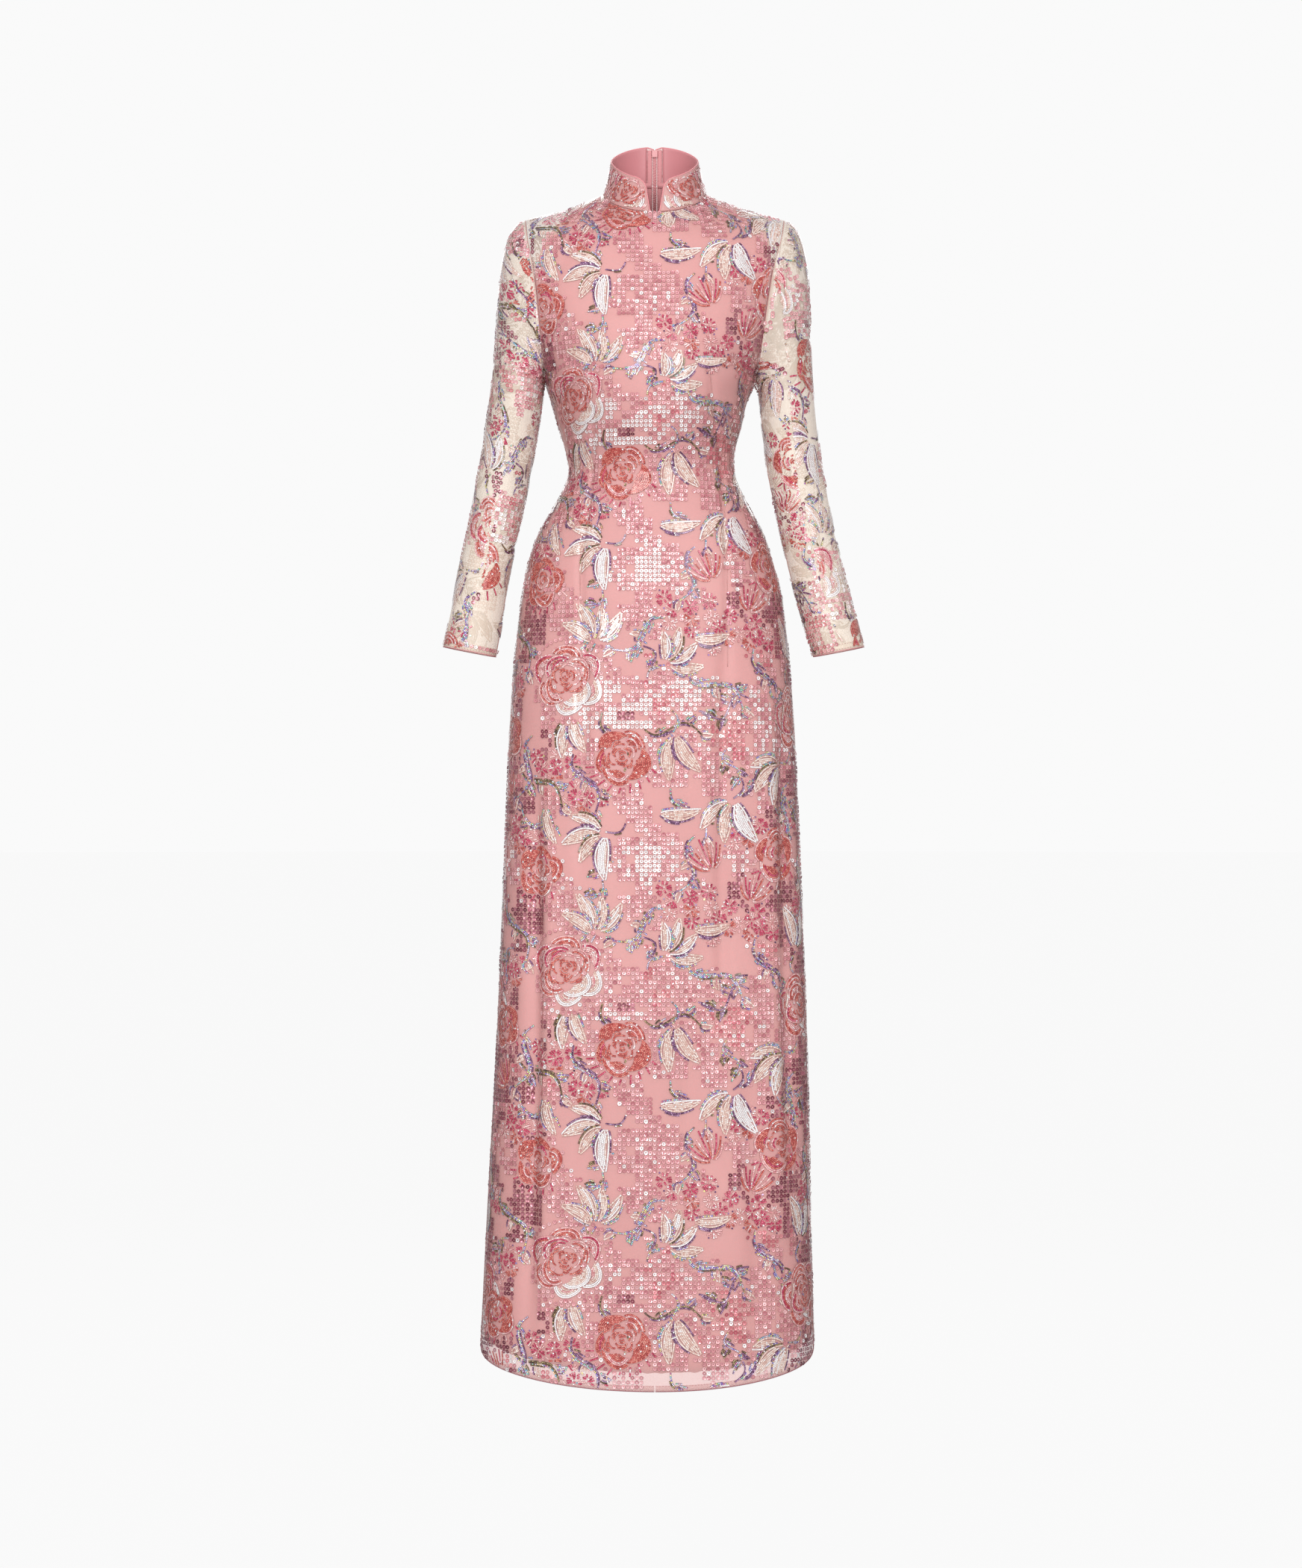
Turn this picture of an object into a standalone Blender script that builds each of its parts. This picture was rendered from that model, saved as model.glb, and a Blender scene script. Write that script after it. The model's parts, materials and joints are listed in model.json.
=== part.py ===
"""Ao dai tunic: a long net tunic over an opaque lining, worn and hollow.

Metres, +Z up. The origin is the middle of the neck at its base, the front faces -Y
and +X is the wearer's left. The outside surface of the body is worked out once, as a
front and a back half-surface on each side, from a table of level sections and a table
of yoke sections. Every cloth piece is a patch of that surface, moved inwards by its
own depth and thickened with Solidify.
"""

import math

import bpy
import numpy as np
from mathutils import Matrix, Vector

# ---------------------------------------------------------------- driving sizes

SIDES = ("left", "right")

NET = 0.0010            # wall of the sequinned net
LINING = 0.0010         # wall of the lining
LAYER_GAP = 0.0012      # air between net and lining
SEAM_GAP = 0.0003       # between two pieces sewn together
SHOULDER_GAP = 0.0007   # the same on top of the shoulder, where the facets bend
INNER_SHOULDER_GAP = 0.5    # an inner layer stops further down by this share of its depth
ARMHOLE_GAP = 0.0005    # and between the sleeve and the armhole
NET_HEM_CENTRE = -1.454     # lowest point of the hem, at the centre front and back
NET_HEM_RISE = 0.046        # how much higher the hem is at the slits
LINING_HEM_UP = 0.023       # the lining ends this far above the net
SLIT_TOP = -0.380           # the side seams are sewn down to here
SLIT_OPEN = 0.030           # distance between the two flaps at the hem
BACK_FLAP_IN = 0.004        # the back flap hangs this much narrower at the hem
LAST_LEVEL_ROW = -1.018     # below this the rows bend to the curve of the hem
LINING_IN = (0.0020, 0.0004)    # and this far inside the armhole and side seams

# Zip at the centre back. Distances across are measured from the centre back line and
# depths inwards from the outside of the net.
ZIP_BOTTOM = -0.395
ZIP_HALF_GAP = 0.0010       # each back half stops this far from the centre line
TAPE_ACROSS = (0.0032, 0.0095)
TAPE_DEPTH = 0.0013
TAPE = 0.0008
COIL_HALF = 0.0026
COIL_DEPTH = 0.0013
COIL = 0.0016
LINING_FROM_ZIP = 0.0100
ZIP_V = 0.0030              # the collar halves dip this much at the top of the zip
ZIP_V_WIDE = 0.0080

# Level sections, measured from the centre front line. front and back are the depths of
# the centre lines, side is where the side seam lies, full is how square the section is
# (2 is an ellipse).
LEVEL_COLUMNS = ("z", "left", "right", "front", "back", "side", "full")
LEVELS = (
    (-0.231, 0.1224, 0.1343, -0.123, 0.098, 0.004, 2.15),
    (-0.245, 0.1162, 0.1300, -0.122, 0.096, 0.005, 2.10),
    (-0.2815, 0.1067, 0.1190, -0.114, 0.089, 0.006, 2.05),
    (-0.318, 0.0975, 0.1085, -0.099, 0.080, 0.006, 2.05),
    (-0.337, 0.0975, 0.1058, -0.093, 0.077, 0.006, 2.05),
    (-0.3735, 0.1113, 0.1196, -0.094, 0.085, 0.006, 2.10),
    (-0.410, 0.1316, 0.1408, -0.098, 0.097, 0.006, 2.15),
    (-0.447, 0.1444, 0.1546, -0.102, 0.106, 0.006, 2.25),
    (-0.484, 0.1546, 0.1619, -0.106, 0.112, 0.006, 2.35),
    (-0.539, 0.1619, 0.1693, -0.109, 0.117, 0.006, 2.45),
    (-0.631, 0.1702, 0.1766, -0.111, 0.119, 0.006, 2.60),
    (-0.797, 0.1776, 0.1840, -0.113, 0.122, 0.006, 2.75),
    (-1.018, 0.1849, 0.1941, -0.117, 0.128, 0.006, 2.80),
    (-1.238, 0.1914, 0.2061, -0.121, 0.134, 0.006, 2.75),
    (-1.460, 0.1980, 0.2170, -0.125, 0.142, 0.006, 2.65),
)

# Yoke sections between the shoulder seam and the underarm, from the centre line to the
# armhole. turn is the angle through which the section has turned at the armhole.
YOKE_COLUMNS = ("z_mid", "z_edge", "left", "right", "y_mid", "y_edge", "turn")
FRONT_YOKE = (
    (-0.060, -0.056, 0.1535, 0.1545, -0.0835, -0.040, 38.0),
    (-0.098, -0.092, 0.1445, 0.1480, -0.0960, -0.053, 46.0),
    (-0.138, -0.134, 0.1375, 0.1430, -0.1090, -0.057, 56.0),
    (-0.172, -0.173, 0.1320, 0.1395, -0.1185, -0.053, 66.0),
    (-0.204, -0.207, 0.1270, 0.1365, -0.1230, -0.036, 78.0),
)
BACK_YOKE = (
    (-0.030, -0.056, 0.1550, 0.1560, 0.0740, 0.046, 34.0),
    (-0.078, -0.092, 0.1520, 0.1540, 0.0895, 0.064, 42.0),
    (-0.128, -0.134, 0.1450, 0.1490, 0.0985, 0.068, 52.0),
    (-0.168, -0.173, 0.1370, 0.1440, 0.1010, 0.062, 62.0),
    (-0.204, -0.207, 0.1290, 0.1385, 0.1000, 0.044, 76.0),
)

# Neck and shoulder line.
NECK_HALF = 0.0635      # half the width of the neckline
NECK_SIDE = (0.004, 0.003)      # y and z of the neck at the shoulder seam
NECK_FRONT = (-0.066, -0.027)   # y and z of the neckline at the centre front
NECK_BACK = (0.058, 0.022)      # y and z of the neckline at the centre back
NECK_SWEEP = 1.2        # how the neckline drops towards its centre
SHOULDER_TIP = (0.158, 0.008, -0.0275)
SHOULDER_DIP = 0.003    # the shoulder line sags this much between neck and tip

# Collar: the top edge, and how its front corners are cut.
COLLAR_TOP_HALF = 0.0545
COLLAR_TOP_FRONT = (-0.0575, 0.014)
COLLAR_TOP_SIDE = (0.002, 0.044)
COLLAR_TOP_BACK = (0.050, 0.069)
COLLAR_NOTCH = 0.0060       # half the gap at the neckline
COLLAR_LEAN = 0.0070        # how much further back the front edge is at the top
COLLAR_CORNER = 0.0120      # radius of its rounded corner
COLLAR_WAIST = 0.0012       # the band is this much hollow at half height
COLLAR_UP = 0.0008          # its facets stay this far above the neckline

# Sleeves, ring by ring down the arm: level, middle of the ring, half width and half
# depth. mid_left and wide_left are the wearer's left.
SLEEVE_COLUMNS = ("z", "mid_left", "wide_left", "mid_right", "wide_right", "y", "deep")
SLEEVE_RINGS = (
    (-0.245, 0.1625, 0.0345, 0.1702, 0.0331, 0.008, 0.0490),
    (-0.318, 0.1702, 0.0350, 0.1817, 0.0334, 0.011, 0.0450),
    (-0.392, 0.1840, 0.0340, 0.1955, 0.0318, 0.008, 0.0410),
    (-0.466, 0.2003, 0.0336, 0.2107, 0.0322, -0.001, 0.0385),
    (-0.536, 0.2190, 0.0330, 0.2225, 0.0335, -0.012, 0.0370),
    (-0.561, 0.2260, 0.0328, 0.2275, 0.0340, -0.016, 0.0370),
)
ARM_LEAN = 11.0         # degrees between the arm and straight down
CAP_REACH = 0.130       # how strongly the sleeve head springs out of the shoulder seam
PIT_REACH = 0.012       # and how it leaves the armpit

# How far down the armhole each lining reaches the seam, and how much of the shoulder
# line it covers, for the wearer's left and right.
LINING_MEETS_ARMHOLE = -0.092
LINING_TOP = {"left": 0.74, "right": 0.60}

# Slider and pull tab. The slider sits at the top of the collar, a share of its height
# down, and the tab's axis lies outside the net.
SLIDER_DOWN = 0.16
TAPE_TOP = 0.07
COIL_TOP = 0.28
TAB = 0.0009            # the tab's thickness
TAB_HALF = 0.0023
TAB_LONG = 0.0190
TAB_SLOT = 0.0013
TAB_SLOT_LONG = 0.0046
TAB_OUT = 0.0023

# Colour, roughness and metallic value of each kind of piece.
NET_LOOKS = ((0.78, 0.42, 0.42), 0.65)
LINING_LOOKS = ((0.66, 0.30, 0.30), 0.55)
TAPE_LOOKS = ((0.60, 0.27, 0.28), 0.70)
SLIDER_LOOKS = ((0.70, 0.38, 0.38), 0.35)

# Rows and columns of the facets.
YOKE_CUTS = np.array([0.0, 0.025, 0.11, 0.25, 0.42, 0.60, 0.79, 1.0])
HALF_COLUMNS = 9
SLEEVE_ROWS = (0.0, 0.10, 0.25, 0.45, 0.70, 1.0)    # over the head, then one per ring
COLLAR_CUTS = np.array([1.0, 0.97, 0.90, 0.80, 0.55, 0.28, 0.0])    # heights of rows
COLLAR_SPREAD = np.array([0.14, 0.24, 0.34, 0.45, 0.56, 0.67, 0.78, 0.87, 0.94, 1.0])
FINE = 61               # samples along one half section
SHORTEST_FACET = 0.02   # no row this close above a lower edge
DENSE_ROWS = 500        # samples down one half-surface


def table(columns, rows):
    """The rows as one dictionary of number arrays."""
    return {name: np.array([row[i] for row in rows]) for i, name in enumerate(columns)}


# ---------------------------------------------------------------- the body surface

def evenly(points, count):
    """A polyline divided into count points at equal distances."""
    steps = np.linalg.norm(np.diff(points, axis=0), axis=1)
    along = np.concatenate(([0.0], np.cumsum(steps)))
    wanted = np.linspace(0.0, along[-1], count)
    return np.stack([np.interp(wanted, along, points[:, i]) for i in range(3)], axis=1)


def arc_section(reach, y_mid, y_edge, z_mid, z_edge, turn, full):
    """Half a section, from the centre line out to the side or the armhole."""
    angle = np.linspace(0.0, math.radians(turn), 400)
    power = 2.0 / full
    across = np.sin(angle) ** power
    drop = np.abs(np.cos(angle)) ** power
    across = across / across[-1]
    drop = (drop - drop[-1]) / (drop[0] - drop[-1])
    x = reach * across
    y = y_edge + (y_mid - y_edge) * drop
    z = z_mid + (z_edge - z_mid) * across
    return evenly(np.stack([x, y, z], axis=1), FINE)


def shoulder_section(neck_mid):
    """The top row of a panel: half the neckline, then the shoulder line."""
    half = FINE // 2
    line = shoulder_line(np.linspace(0.0, 1.0, 100))
    return np.concatenate([evenly(neckline(neck_mid), half + 1)[:-1],
                           evenly(line, FINE - half)])


def neckline(neck_mid):
    """Half the neckline, from its centre to the shoulder seam."""
    angle = np.linspace(0.0, math.pi / 2.0, 200)
    y_side, z_side = NECK_SIDE
    y_mid, z_mid = neck_mid
    return np.stack([
        NECK_HALF * np.sin(angle),
        y_side + (y_mid - y_side) * np.cos(angle),
        z_side + (z_mid - z_side) * np.cos(angle) ** NECK_SWEEP,
    ], axis=1)


def shoulder_line(share):
    start = np.array([NECK_HALF, *NECK_SIDE])
    line = start + (np.array(SHOULDER_TIP) - start) * share[:, None]
    line[:, 2] -= SHOULDER_DIP * np.sin(math.pi * share)
    return line


def key_rows(side, front):
    """The sections of one half-surface from the shoulder line to below the hem."""
    middle = "front" if front else "back"
    rows = [shoulder_section(NECK_FRONT if front else NECK_BACK)]
    yoke = table(YOKE_COLUMNS, FRONT_YOKE if front else BACK_YOKE)
    for i in range(len(yoke["turn"])):
        rows.append(arc_section(
            yoke[side][i], yoke["y_mid"][i], yoke["y_edge"][i],
            yoke["z_mid"][i], yoke["z_edge"][i], yoke["turn"][i], 2.0))
    levels = table(LEVEL_COLUMNS, LEVELS)
    for i, z in enumerate(levels["z"]):
        free = max(0.0, (SLIT_TOP - z) / (SLIT_TOP - NET_HEM_CENTRE))
        reach = levels[side][i] - (0.0 if front else BACK_FLAP_IN * free)
        away = 0.5 * SLIT_OPEN * free + 0.5 * SEAM_GAP
        y_side = levels["side"][i] + (-away if front else away)
        rows.append(arc_section(
            reach, levels[middle][i], y_side, z, z, 90.0, levels["full"][i]))
    return np.array(rows)


def stations_of(rows):
    """Where each key row lies: the mean distance down from the first one."""
    steps = np.linalg.norm(np.diff(rows, axis=0), axis=2).mean(axis=1)
    return np.concatenate(([0.0], np.cumsum(steps)))


def slopes_of(rows, at, first):
    """Slope of each line at each key row; first is the slope at the shoulder line."""
    steps = np.diff(rows, axis=0) / np.diff(at)[:, None, None]
    before = np.diff(at)[:-1, None, None]
    after = np.diff(at)[1:, None, None]
    slope = np.empty_like(rows)
    slope[1:-1] = (steps[:-1] * after + steps[1:] * before) / (before + after)
    slope[0] = first
    slope[-1] = steps[-1]
    return slope


def body_surface(side, front):
    """One half-surface as a dense grid of points and of normals pointing out."""
    rows = key_rows(side, front)
    opposite = key_rows(side, not front)
    at = stations_of(rows)
    over = rows[1] - opposite[1]
    over /= np.linalg.norm(over, axis=1)[:, None]
    straight = (rows[1] - rows[0]) / at[1]
    share = np.clip((np.linspace(0.0, 1.0, FINE) - 0.25) / 0.35, 0.0, 1.0)[:, None]
    rounding = share * share * (3.0 - 2.0 * share)
    slope = slopes_of(rows, at, straight + (over - straight) * rounding)
    dense_at = np.linspace(0.0, at[-1], DENSE_ROWS)
    i = np.clip(np.searchsorted(at, dense_at, side="right") - 1, 0, len(at) - 2)
    h = (at[i + 1] - at[i])[:, None, None]
    t = (dense_at - at[i])[:, None, None] / h
    points = ((1 + 2 * t) * (1 - t) ** 2 * rows[i] + t * (1 - t) ** 2 * h * slope[i]
              + t * t * (3 - 2 * t) * rows[i + 1] + t * t * (t - 1) * h * slope[i + 1])
    points[..., 0] *= 1.0 if side == "left" else -1.0
    normals = np.cross(np.gradient(points, axis=0), np.gradient(points, axis=1))
    normals /= np.linalg.norm(normals, axis=2)[..., None]
    if (side == "left") != front:
        normals = -normals
    lengths = np.linalg.norm(np.diff(points, axis=1), axis=2).sum(axis=1)
    return {"points": points, "normals": normals, "at": dense_at, "lengths": lengths,
            "under": at[len(FRONT_YOKE) + 1], "side": side, "front": front}


def picked(body, stations, shares, depth=0.0):
    """Points of the surface at these stations and shares, moved inwards by depth."""
    rows, columns = body["points"].shape[:2]
    r = np.clip(np.asarray(stations) / body["at"][-1] * (rows - 1), 0, rows - 1.001)
    c = np.clip(np.asarray(shares) * (columns - 1), 0, columns - 1.001)
    r, c = np.broadcast_arrays(r, c)
    i, j = r.astype(int), c.astype(int)
    a, b = (r - i)[..., None], (c - j)[..., None]

    def mixed(grid):
        top = grid[i, j] * (1 - b) + grid[i, j + 1] * b
        low = grid[i + 1, j] * (1 - b) + grid[i + 1, j + 1] * b
        return top * (1 - a) + low * a

    normal = mixed(body["normals"])
    normal /= np.linalg.norm(normal, axis=-1)[..., None]
    return mixed(body["points"]) - depth * normal


def station_at(body, z, share=0.0):
    """The station where one line of the surface passes this height."""
    column = int(round(share * (body["points"].shape[1] - 1)))
    return float(np.interp(-z, -body["points"][:, column, 2], body["at"]))


# ---------------------------------------------------------------- meshes

def cloth_material(name, colour, roughness, metallic=0.0):
    material = bpy.data.materials.new(name)
    material.use_nodes = True
    shader = material.node_tree.nodes["Principled BSDF"]
    shader.inputs["Base Color"].default_value = (*colour, 1.0)
    shader.inputs["Roughness"].default_value = roughness
    shader.inputs["Metallic"].default_value = metallic
    return material


def cloth(name, grid, looks, wall, closed=False):
    """A grid of points as an open sheet facing out, thickened inwards by wall.

    The rows of the grid run down the cloth, and its columns turn to the wearer's left
    as seen from outside on the front, so that every face looks out.
    """
    rows, columns = grid.shape[:2]
    mesh = bpy.data.meshes.new(name)
    cells = []
    for r in range(rows - 1):
        for c in range(columns if closed else columns - 1):
            n = (c + 1) % columns
            cells.append((r * columns + c, (r + 1) * columns + c,
                          (r + 1) * columns + n, r * columns + n))
    mesh.from_pydata(grid.reshape(-1, 3).tolist(), [], cells)
    mesh.update()
    thing = bpy.data.objects.new(name, mesh)
    parts.objects.link(thing)
    mesh.materials.append(cloth_material(name, *looks))
    mesh.shade_smooth()
    mesh.set_sharp_from_angle(angle=math.radians(40))
    solidify = thing.modifiers.new("wall", "SOLIDIFY")
    solidify.thickness = wall
    solidify.offset = -1.0
    solidify.use_even_offset = True
    return thing


def yoke_stations(body):
    """Rows above the underarm, with one close to the shoulder seam to round it."""
    stations = YOKE_CUTS * body["under"]
    stations[0] = SHOULDER_GAP / 2.0
    return stations


def facet_stations(body, bottom):
    """Rows of the facets: close over the yoke and the waist, long in the skirt."""
    yoke = yoke_stations(body)
    levels = [row[0] for row in LEVELS[1:-1] if row[0] > bottom + SHORTEST_FACET]
    return np.concatenate([yoke, [station_at(body, z) for z in levels],
                           [station_at(body, bottom)]])


def panel_half(body, depth, bottom, edges=(), outer_share=None):
    """One half of a panel, row by row from the centre line to the side.

    edges are the distances of its first columns from the centre line, if it stops short
    of it. outer_share gives the share of each row that the piece covers; its columns
    keep those of the whole panel up to the shoulder point of the neck. Low in the skirt
    the rows bend until the last one follows the curve of the hem.
    """
    stations = facet_stations(body, bottom)
    stations[0] += INNER_SHOULDER_GAP * depth
    low = station_at(body, LAST_LEVEL_ROW)
    grid = []
    for station in stations:
        length = np.interp(station, body["at"], body["lengths"])
        shares = np.linspace(0.0, 1.0, HALF_COLUMNS)
        if edges:
            shares = np.concatenate((np.array(edges) / length, shares[1:]))
        if outer_share:
            beyond = np.clip(2.0 * shares - 1.0, 0.0, 1.0)
            shares = shares - beyond * (1.0 - outer_share(body, station))
        bend = max(0.0, (station - low) / (stations[-1] - low))
        lift = NET_HEM_RISE * bend * shares ** 2
        grid.append(picked(body, station - lift, shares, depth))
    return np.array(grid)


def lining_share(body, station):
    """The halter cut: the lining leaves the sleeve heads bare."""
    meets = station_at(body, LINING_MEETS_ARMHOLE, 1.0)
    length = np.interp(station, body["at"], body["lengths"])
    in_armhole = station < body["under"] - 1e-6
    whole = 1.0 - LINING_IN[0 if in_armhole else 1] / length
    if station >= meets:
        return whole
    top = LINING_TOP[body["side"]]
    return top + (whole - top) * (station / meets)


def facing_out(grid, inside):
    """The grid, with its columns turned round if its faces would look inwards."""
    down = np.diff(grid, axis=0)[:, :-1]
    across = np.diff(grid, axis=1)[:-1]
    normal = np.cross(down, across)
    away = grid[:-1, :-1] - inside[:-1, :1]
    return grid if float((normal * away).sum()) > 0.0 else grid[:, ::-1]


def middle_line(grid):
    """Points on the wearer's axis beside each row of a grid."""
    inside = grid.mean(axis=1, keepdims=True)
    inside[..., 0] = 0.0
    inside[..., 1] = NECK_SIDE[0]
    return inside


# ---------------------------------------------------------------- body and lining

def body_pieces(surfaces):
    """The front, the two back halves, and the lining of each."""
    pieces = (
        ("net", "_panel", 0.0, NET_HEM_CENTRE, (ZIP_HALF_GAP, LINING_FROM_ZIP), None,
         NET, NET_LOOKS),
        ("lining", "", NET + LAYER_GAP, NET_HEM_CENTRE + LINING_HEM_UP,
         (LINING_FROM_ZIP,), lining_share, LINING, LINING_LOOKS),
    )
    for kind, tail, depth, bottom, by_zip, share, wall, looks in pieces:
        prefix = "lining_" if kind == "lining" else ""
        halves = {side: panel_half(surfaces[side, True], depth, bottom, (), share)
                  for side in SIDES}
        front = np.concatenate([halves["right"][:, :0:-1], halves["left"]], axis=1)
        cloth(f"{prefix}front{tail}", facing_out(front, middle_line(front)), looks, wall)
        for side in SIDES:
            half = panel_half(surfaces[side, False], depth, bottom, by_zip, share)
            name = f"{prefix}back{tail}_{side}"
            cloth(name, facing_out(half, middle_line(half)), looks, wall)


# ---------------------------------------------------------------- sleeves

def armhole(surfaces, side):
    """The seam loop: shoulder tip, down the back edge, armpit, up the front edge."""
    edges = {}
    for front in (True, False):
        body = surfaces[side, front]
        stations = yoke_stations(body)
        edges[front] = picked(body, stations, np.ones(len(stations)))
    tip = 0.5 * (edges[True][0] + edges[False][0])
    pit = 0.5 * (edges[True][-1] + edges[False][-1])
    return np.array([tip, *edges[False][1:-1], pit, *edges[True][-2:0:-1]])


def sleeve_rings(side, count):
    """Rings square to the arm, each starting on its outer side and turning backwards."""
    out = 1.0 if side == "left" else -1.0
    lean = math.radians(ARM_LEAN)
    angle = np.linspace(0.0, 2.0 * math.pi, count, endpoint=False)[:, None]
    across = np.array([out * math.cos(lean), 0.0, math.sin(lean)])
    backwards = np.array([0.0, 1.0, 0.0])
    rings = []
    sizes = table(SLEEVE_COLUMNS, SLEEVE_RINGS)
    for i, z in enumerate(sizes["z"]):
        middle = np.array([out * sizes[f"mid_{side}"][i], sizes["y"][i], z])
        wide = sizes[f"wide_{side}"][i] * math.cos(lean)
        rings.append(middle + wide * np.cos(angle) * across
                     + sizes["deep"][i] * np.sin(angle) * backwards)
    return np.array(rings)


def sleeve(surfaces, side):
    """A tube from the armhole seam, over the sleeve head and down to the cuff."""
    seam = armhole(surfaces, side)
    rings = sleeve_rings(side, len(seam))
    out = 1.0 if side == "left" else -1.0
    angle = np.linspace(0.0, 2.0 * math.pi, len(seam), endpoint=False)[:, None]
    top = 0.5 + 0.5 * np.cos(angle)
    spring = top * np.array([out, 0.0, -0.23]) + (1 - top) * np.array([0.5 * out, 0.0, -1])
    spring /= np.linalg.norm(spring, axis=1)[:, None]
    start = seam + ARMHOLE_GAP * spring
    reach = np.linalg.norm(rings[0] - start, axis=1)[:, None]
    leave = spring * (CAP_REACH * top + PIT_REACH * (1 - top))
    arrive = (rings[1] - rings[0]) / np.linalg.norm(rings[1] - rings[0], axis=1)[:, None]
    arrive = arrive * reach
    head = []
    for t in SLEEVE_ROWS[:-1]:
        head.append((1 + 2 * t) * (1 - t) ** 2 * start + t * (1 - t) ** 2 * leave
                    + t * t * (3 - 2 * t) * rings[0] + t * t * (t - 1) * arrive)
    grid = np.concatenate([np.array(head), rings])
    return cloth(f"sleeve_{side}", grid if side == "left" else grid[:, ::-1],
                 NET_LOOKS, NET, closed=True)


# ---------------------------------------------------------------- collar

def collar_surface(side):
    """The outside of the stand collar, from its top edge down to the neckline."""
    angle = np.linspace(0.0, math.pi, 400)
    heights = np.linspace(1.0, 0.0, 60)
    rows = []
    for h in heights:
        half = NECK_HALF + (COLLAR_TOP_HALF - NECK_HALF) * h
        half -= COLLAR_WAIST * math.sin(math.pi * h)
        front = [a + (b - a) * h for a, b in zip(NECK_FRONT, COLLAR_TOP_FRONT)]
        beside = [a + (b - a) * h for a, b in zip(NECK_SIDE, COLLAR_TOP_SIDE)]
        behind = [a + (b - a) * h for a, b in zip(NECK_BACK, COLLAR_TOP_BACK)]
        turn = np.cos(angle)
        back = turn > 0.0
        y = beside[0] + np.abs(turn) * np.where(back, behind[0] - beside[0],
                                                front[0] - beside[0])
        z = beside[1] + np.abs(turn) ** NECK_SWEEP * np.where(
            back, behind[1] - beside[1], front[1] - beside[1])
        ring = np.stack([half * np.sin(angle), y, z], axis=1)
        rows.append(evenly(ring, 2 * FINE))
    points = np.array(rows)
    normals = np.cross(np.gradient(points, axis=0), np.gradient(points, axis=1))
    normals = -normals / np.linalg.norm(normals, axis=2)[..., None]
    if side == "right":
        points = points * np.array([-1.0, 1.0, 1.0])
        normals = normals * np.array([-1.0, 1.0, 1.0])
    lengths = np.linalg.norm(np.diff(points, axis=1), axis=2).sum(axis=1)
    return {"points": points, "normals": normals, "at": 1.0 - heights,
            "lengths": lengths, "side": side}


def collar_front_edge(h):
    """Distance of the front edge from the centre front line at this height."""
    tall = COLLAR_TOP_FRONT[1] - NECK_FRONT[1]
    corner = max(0.0, (h * tall - (tall - COLLAR_CORNER)) / COLLAR_CORNER)
    rounding = COLLAR_CORNER * (1.0 - math.sqrt(max(0.0, 1.0 - corner * corner)))
    return COLLAR_NOTCH + COLLAR_LEAN * h + rounding


def collar_band(collar, depth, by_zip):
    """One half of the collar, from the zip round to its rounded front corner."""
    tall = COLLAR_TOP_BACK[1] - NECK_BACK[1]
    downs = 1.0 - COLLAR_CUTS
    grid = []
    for down in downs:
        down = min(down, 1.0 - COLLAR_UP / tall)
        length = np.interp(down, collar["at"], collar["lengths"])
        last = length - collar_front_edge(1.0 - down)
        across = np.concatenate((by_zip, last * COLLAR_SPREAD))
        dip = ZIP_V / tall * np.clip(1.0 - (across - ZIP_HALF_GAP) / ZIP_V_WIDE, 0.0, 1.0)
        grid.append(picked(collar, down + dip * (1.0 - down), across / length, depth))
    return np.array(grid)


def collar_pieces(collars):
    for side in SIDES:
        outer = collar_band(collars[side], 0.0, (ZIP_HALF_GAP, LINING_FROM_ZIP))
        inner = collar_band(collars[side], NET + SEAM_GAP, (LINING_FROM_ZIP,))
        cloth(f"collar_{side}", facing_out(outer, middle_line(outer)), NET_LOOKS, NET)
        cloth(f"collar_lining_{side}", facing_out(inner, middle_line(inner)),
              LINING_LOOKS, LINING)


# ---------------------------------------------------------------- zip

def zip_strip(surfaces, collars, side, across, depth, top_down):
    """A strip beside the centre back, down the collar and then down the back."""
    collar, back = collars[side], surfaces[side, False]
    rows = []
    downs = 1.0 - COLLAR_CUTS[1:-1]
    for down in [top_down, *downs[downs > top_down + 0.02], 0.97]:
        length = np.interp(down, collar["at"], collar["lengths"])
        rows.append(picked(collar, down, across / length, depth))
    for station in facet_stations(back, ZIP_BOTTOM)[1:]:
        length = np.interp(station, back["at"], back["lengths"])
        rows.append(picked(back, station, across / length, depth))
    return np.array(rows)


def zip_pieces(surfaces, collars):
    """Two tapes and the closed coil between them."""
    for side in SIDES:
        tape = zip_strip(surfaces, collars, side, np.linspace(*TAPE_ACROSS, 3),
                         TAPE_DEPTH, TAPE_TOP)
        cloth(f"zip_tape_{side}", facing_out(tape, middle_line(tape)), TAPE_LOOKS, TAPE)
    halves = {side: zip_strip(surfaces, collars, side, np.array([0.0, COIL_HALF]),
                              COIL_DEPTH, COIL_TOP) for side in SIDES}
    coil = np.concatenate([halves["right"][:, :0:-1], halves["left"]], axis=1)
    cloth("zip_coil", facing_out(coil, middle_line(coil)), TAPE_LOOKS, COIL)


def slider_frame(collars):
    """Local frame of the slider: X across, Y out from the net, Z up the zip."""
    collar = collars["left"]
    at = picked(collar, np.array([SLIDER_DOWN]), np.array([0.0]))[0]
    above = picked(collar, np.array([SLIDER_DOWN - 0.1]), np.array([0.0]))[0]
    up = Vector(above - at).normalized()
    out = up.cross(Vector((1.0, 0.0, 0.0))).normalized()
    turn = Matrix((Vector((1.0, 0.0, 0.0)), out, up)).transposed()
    return Matrix.Translation(Vector(at)) @ turn.to_4x4()


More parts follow.
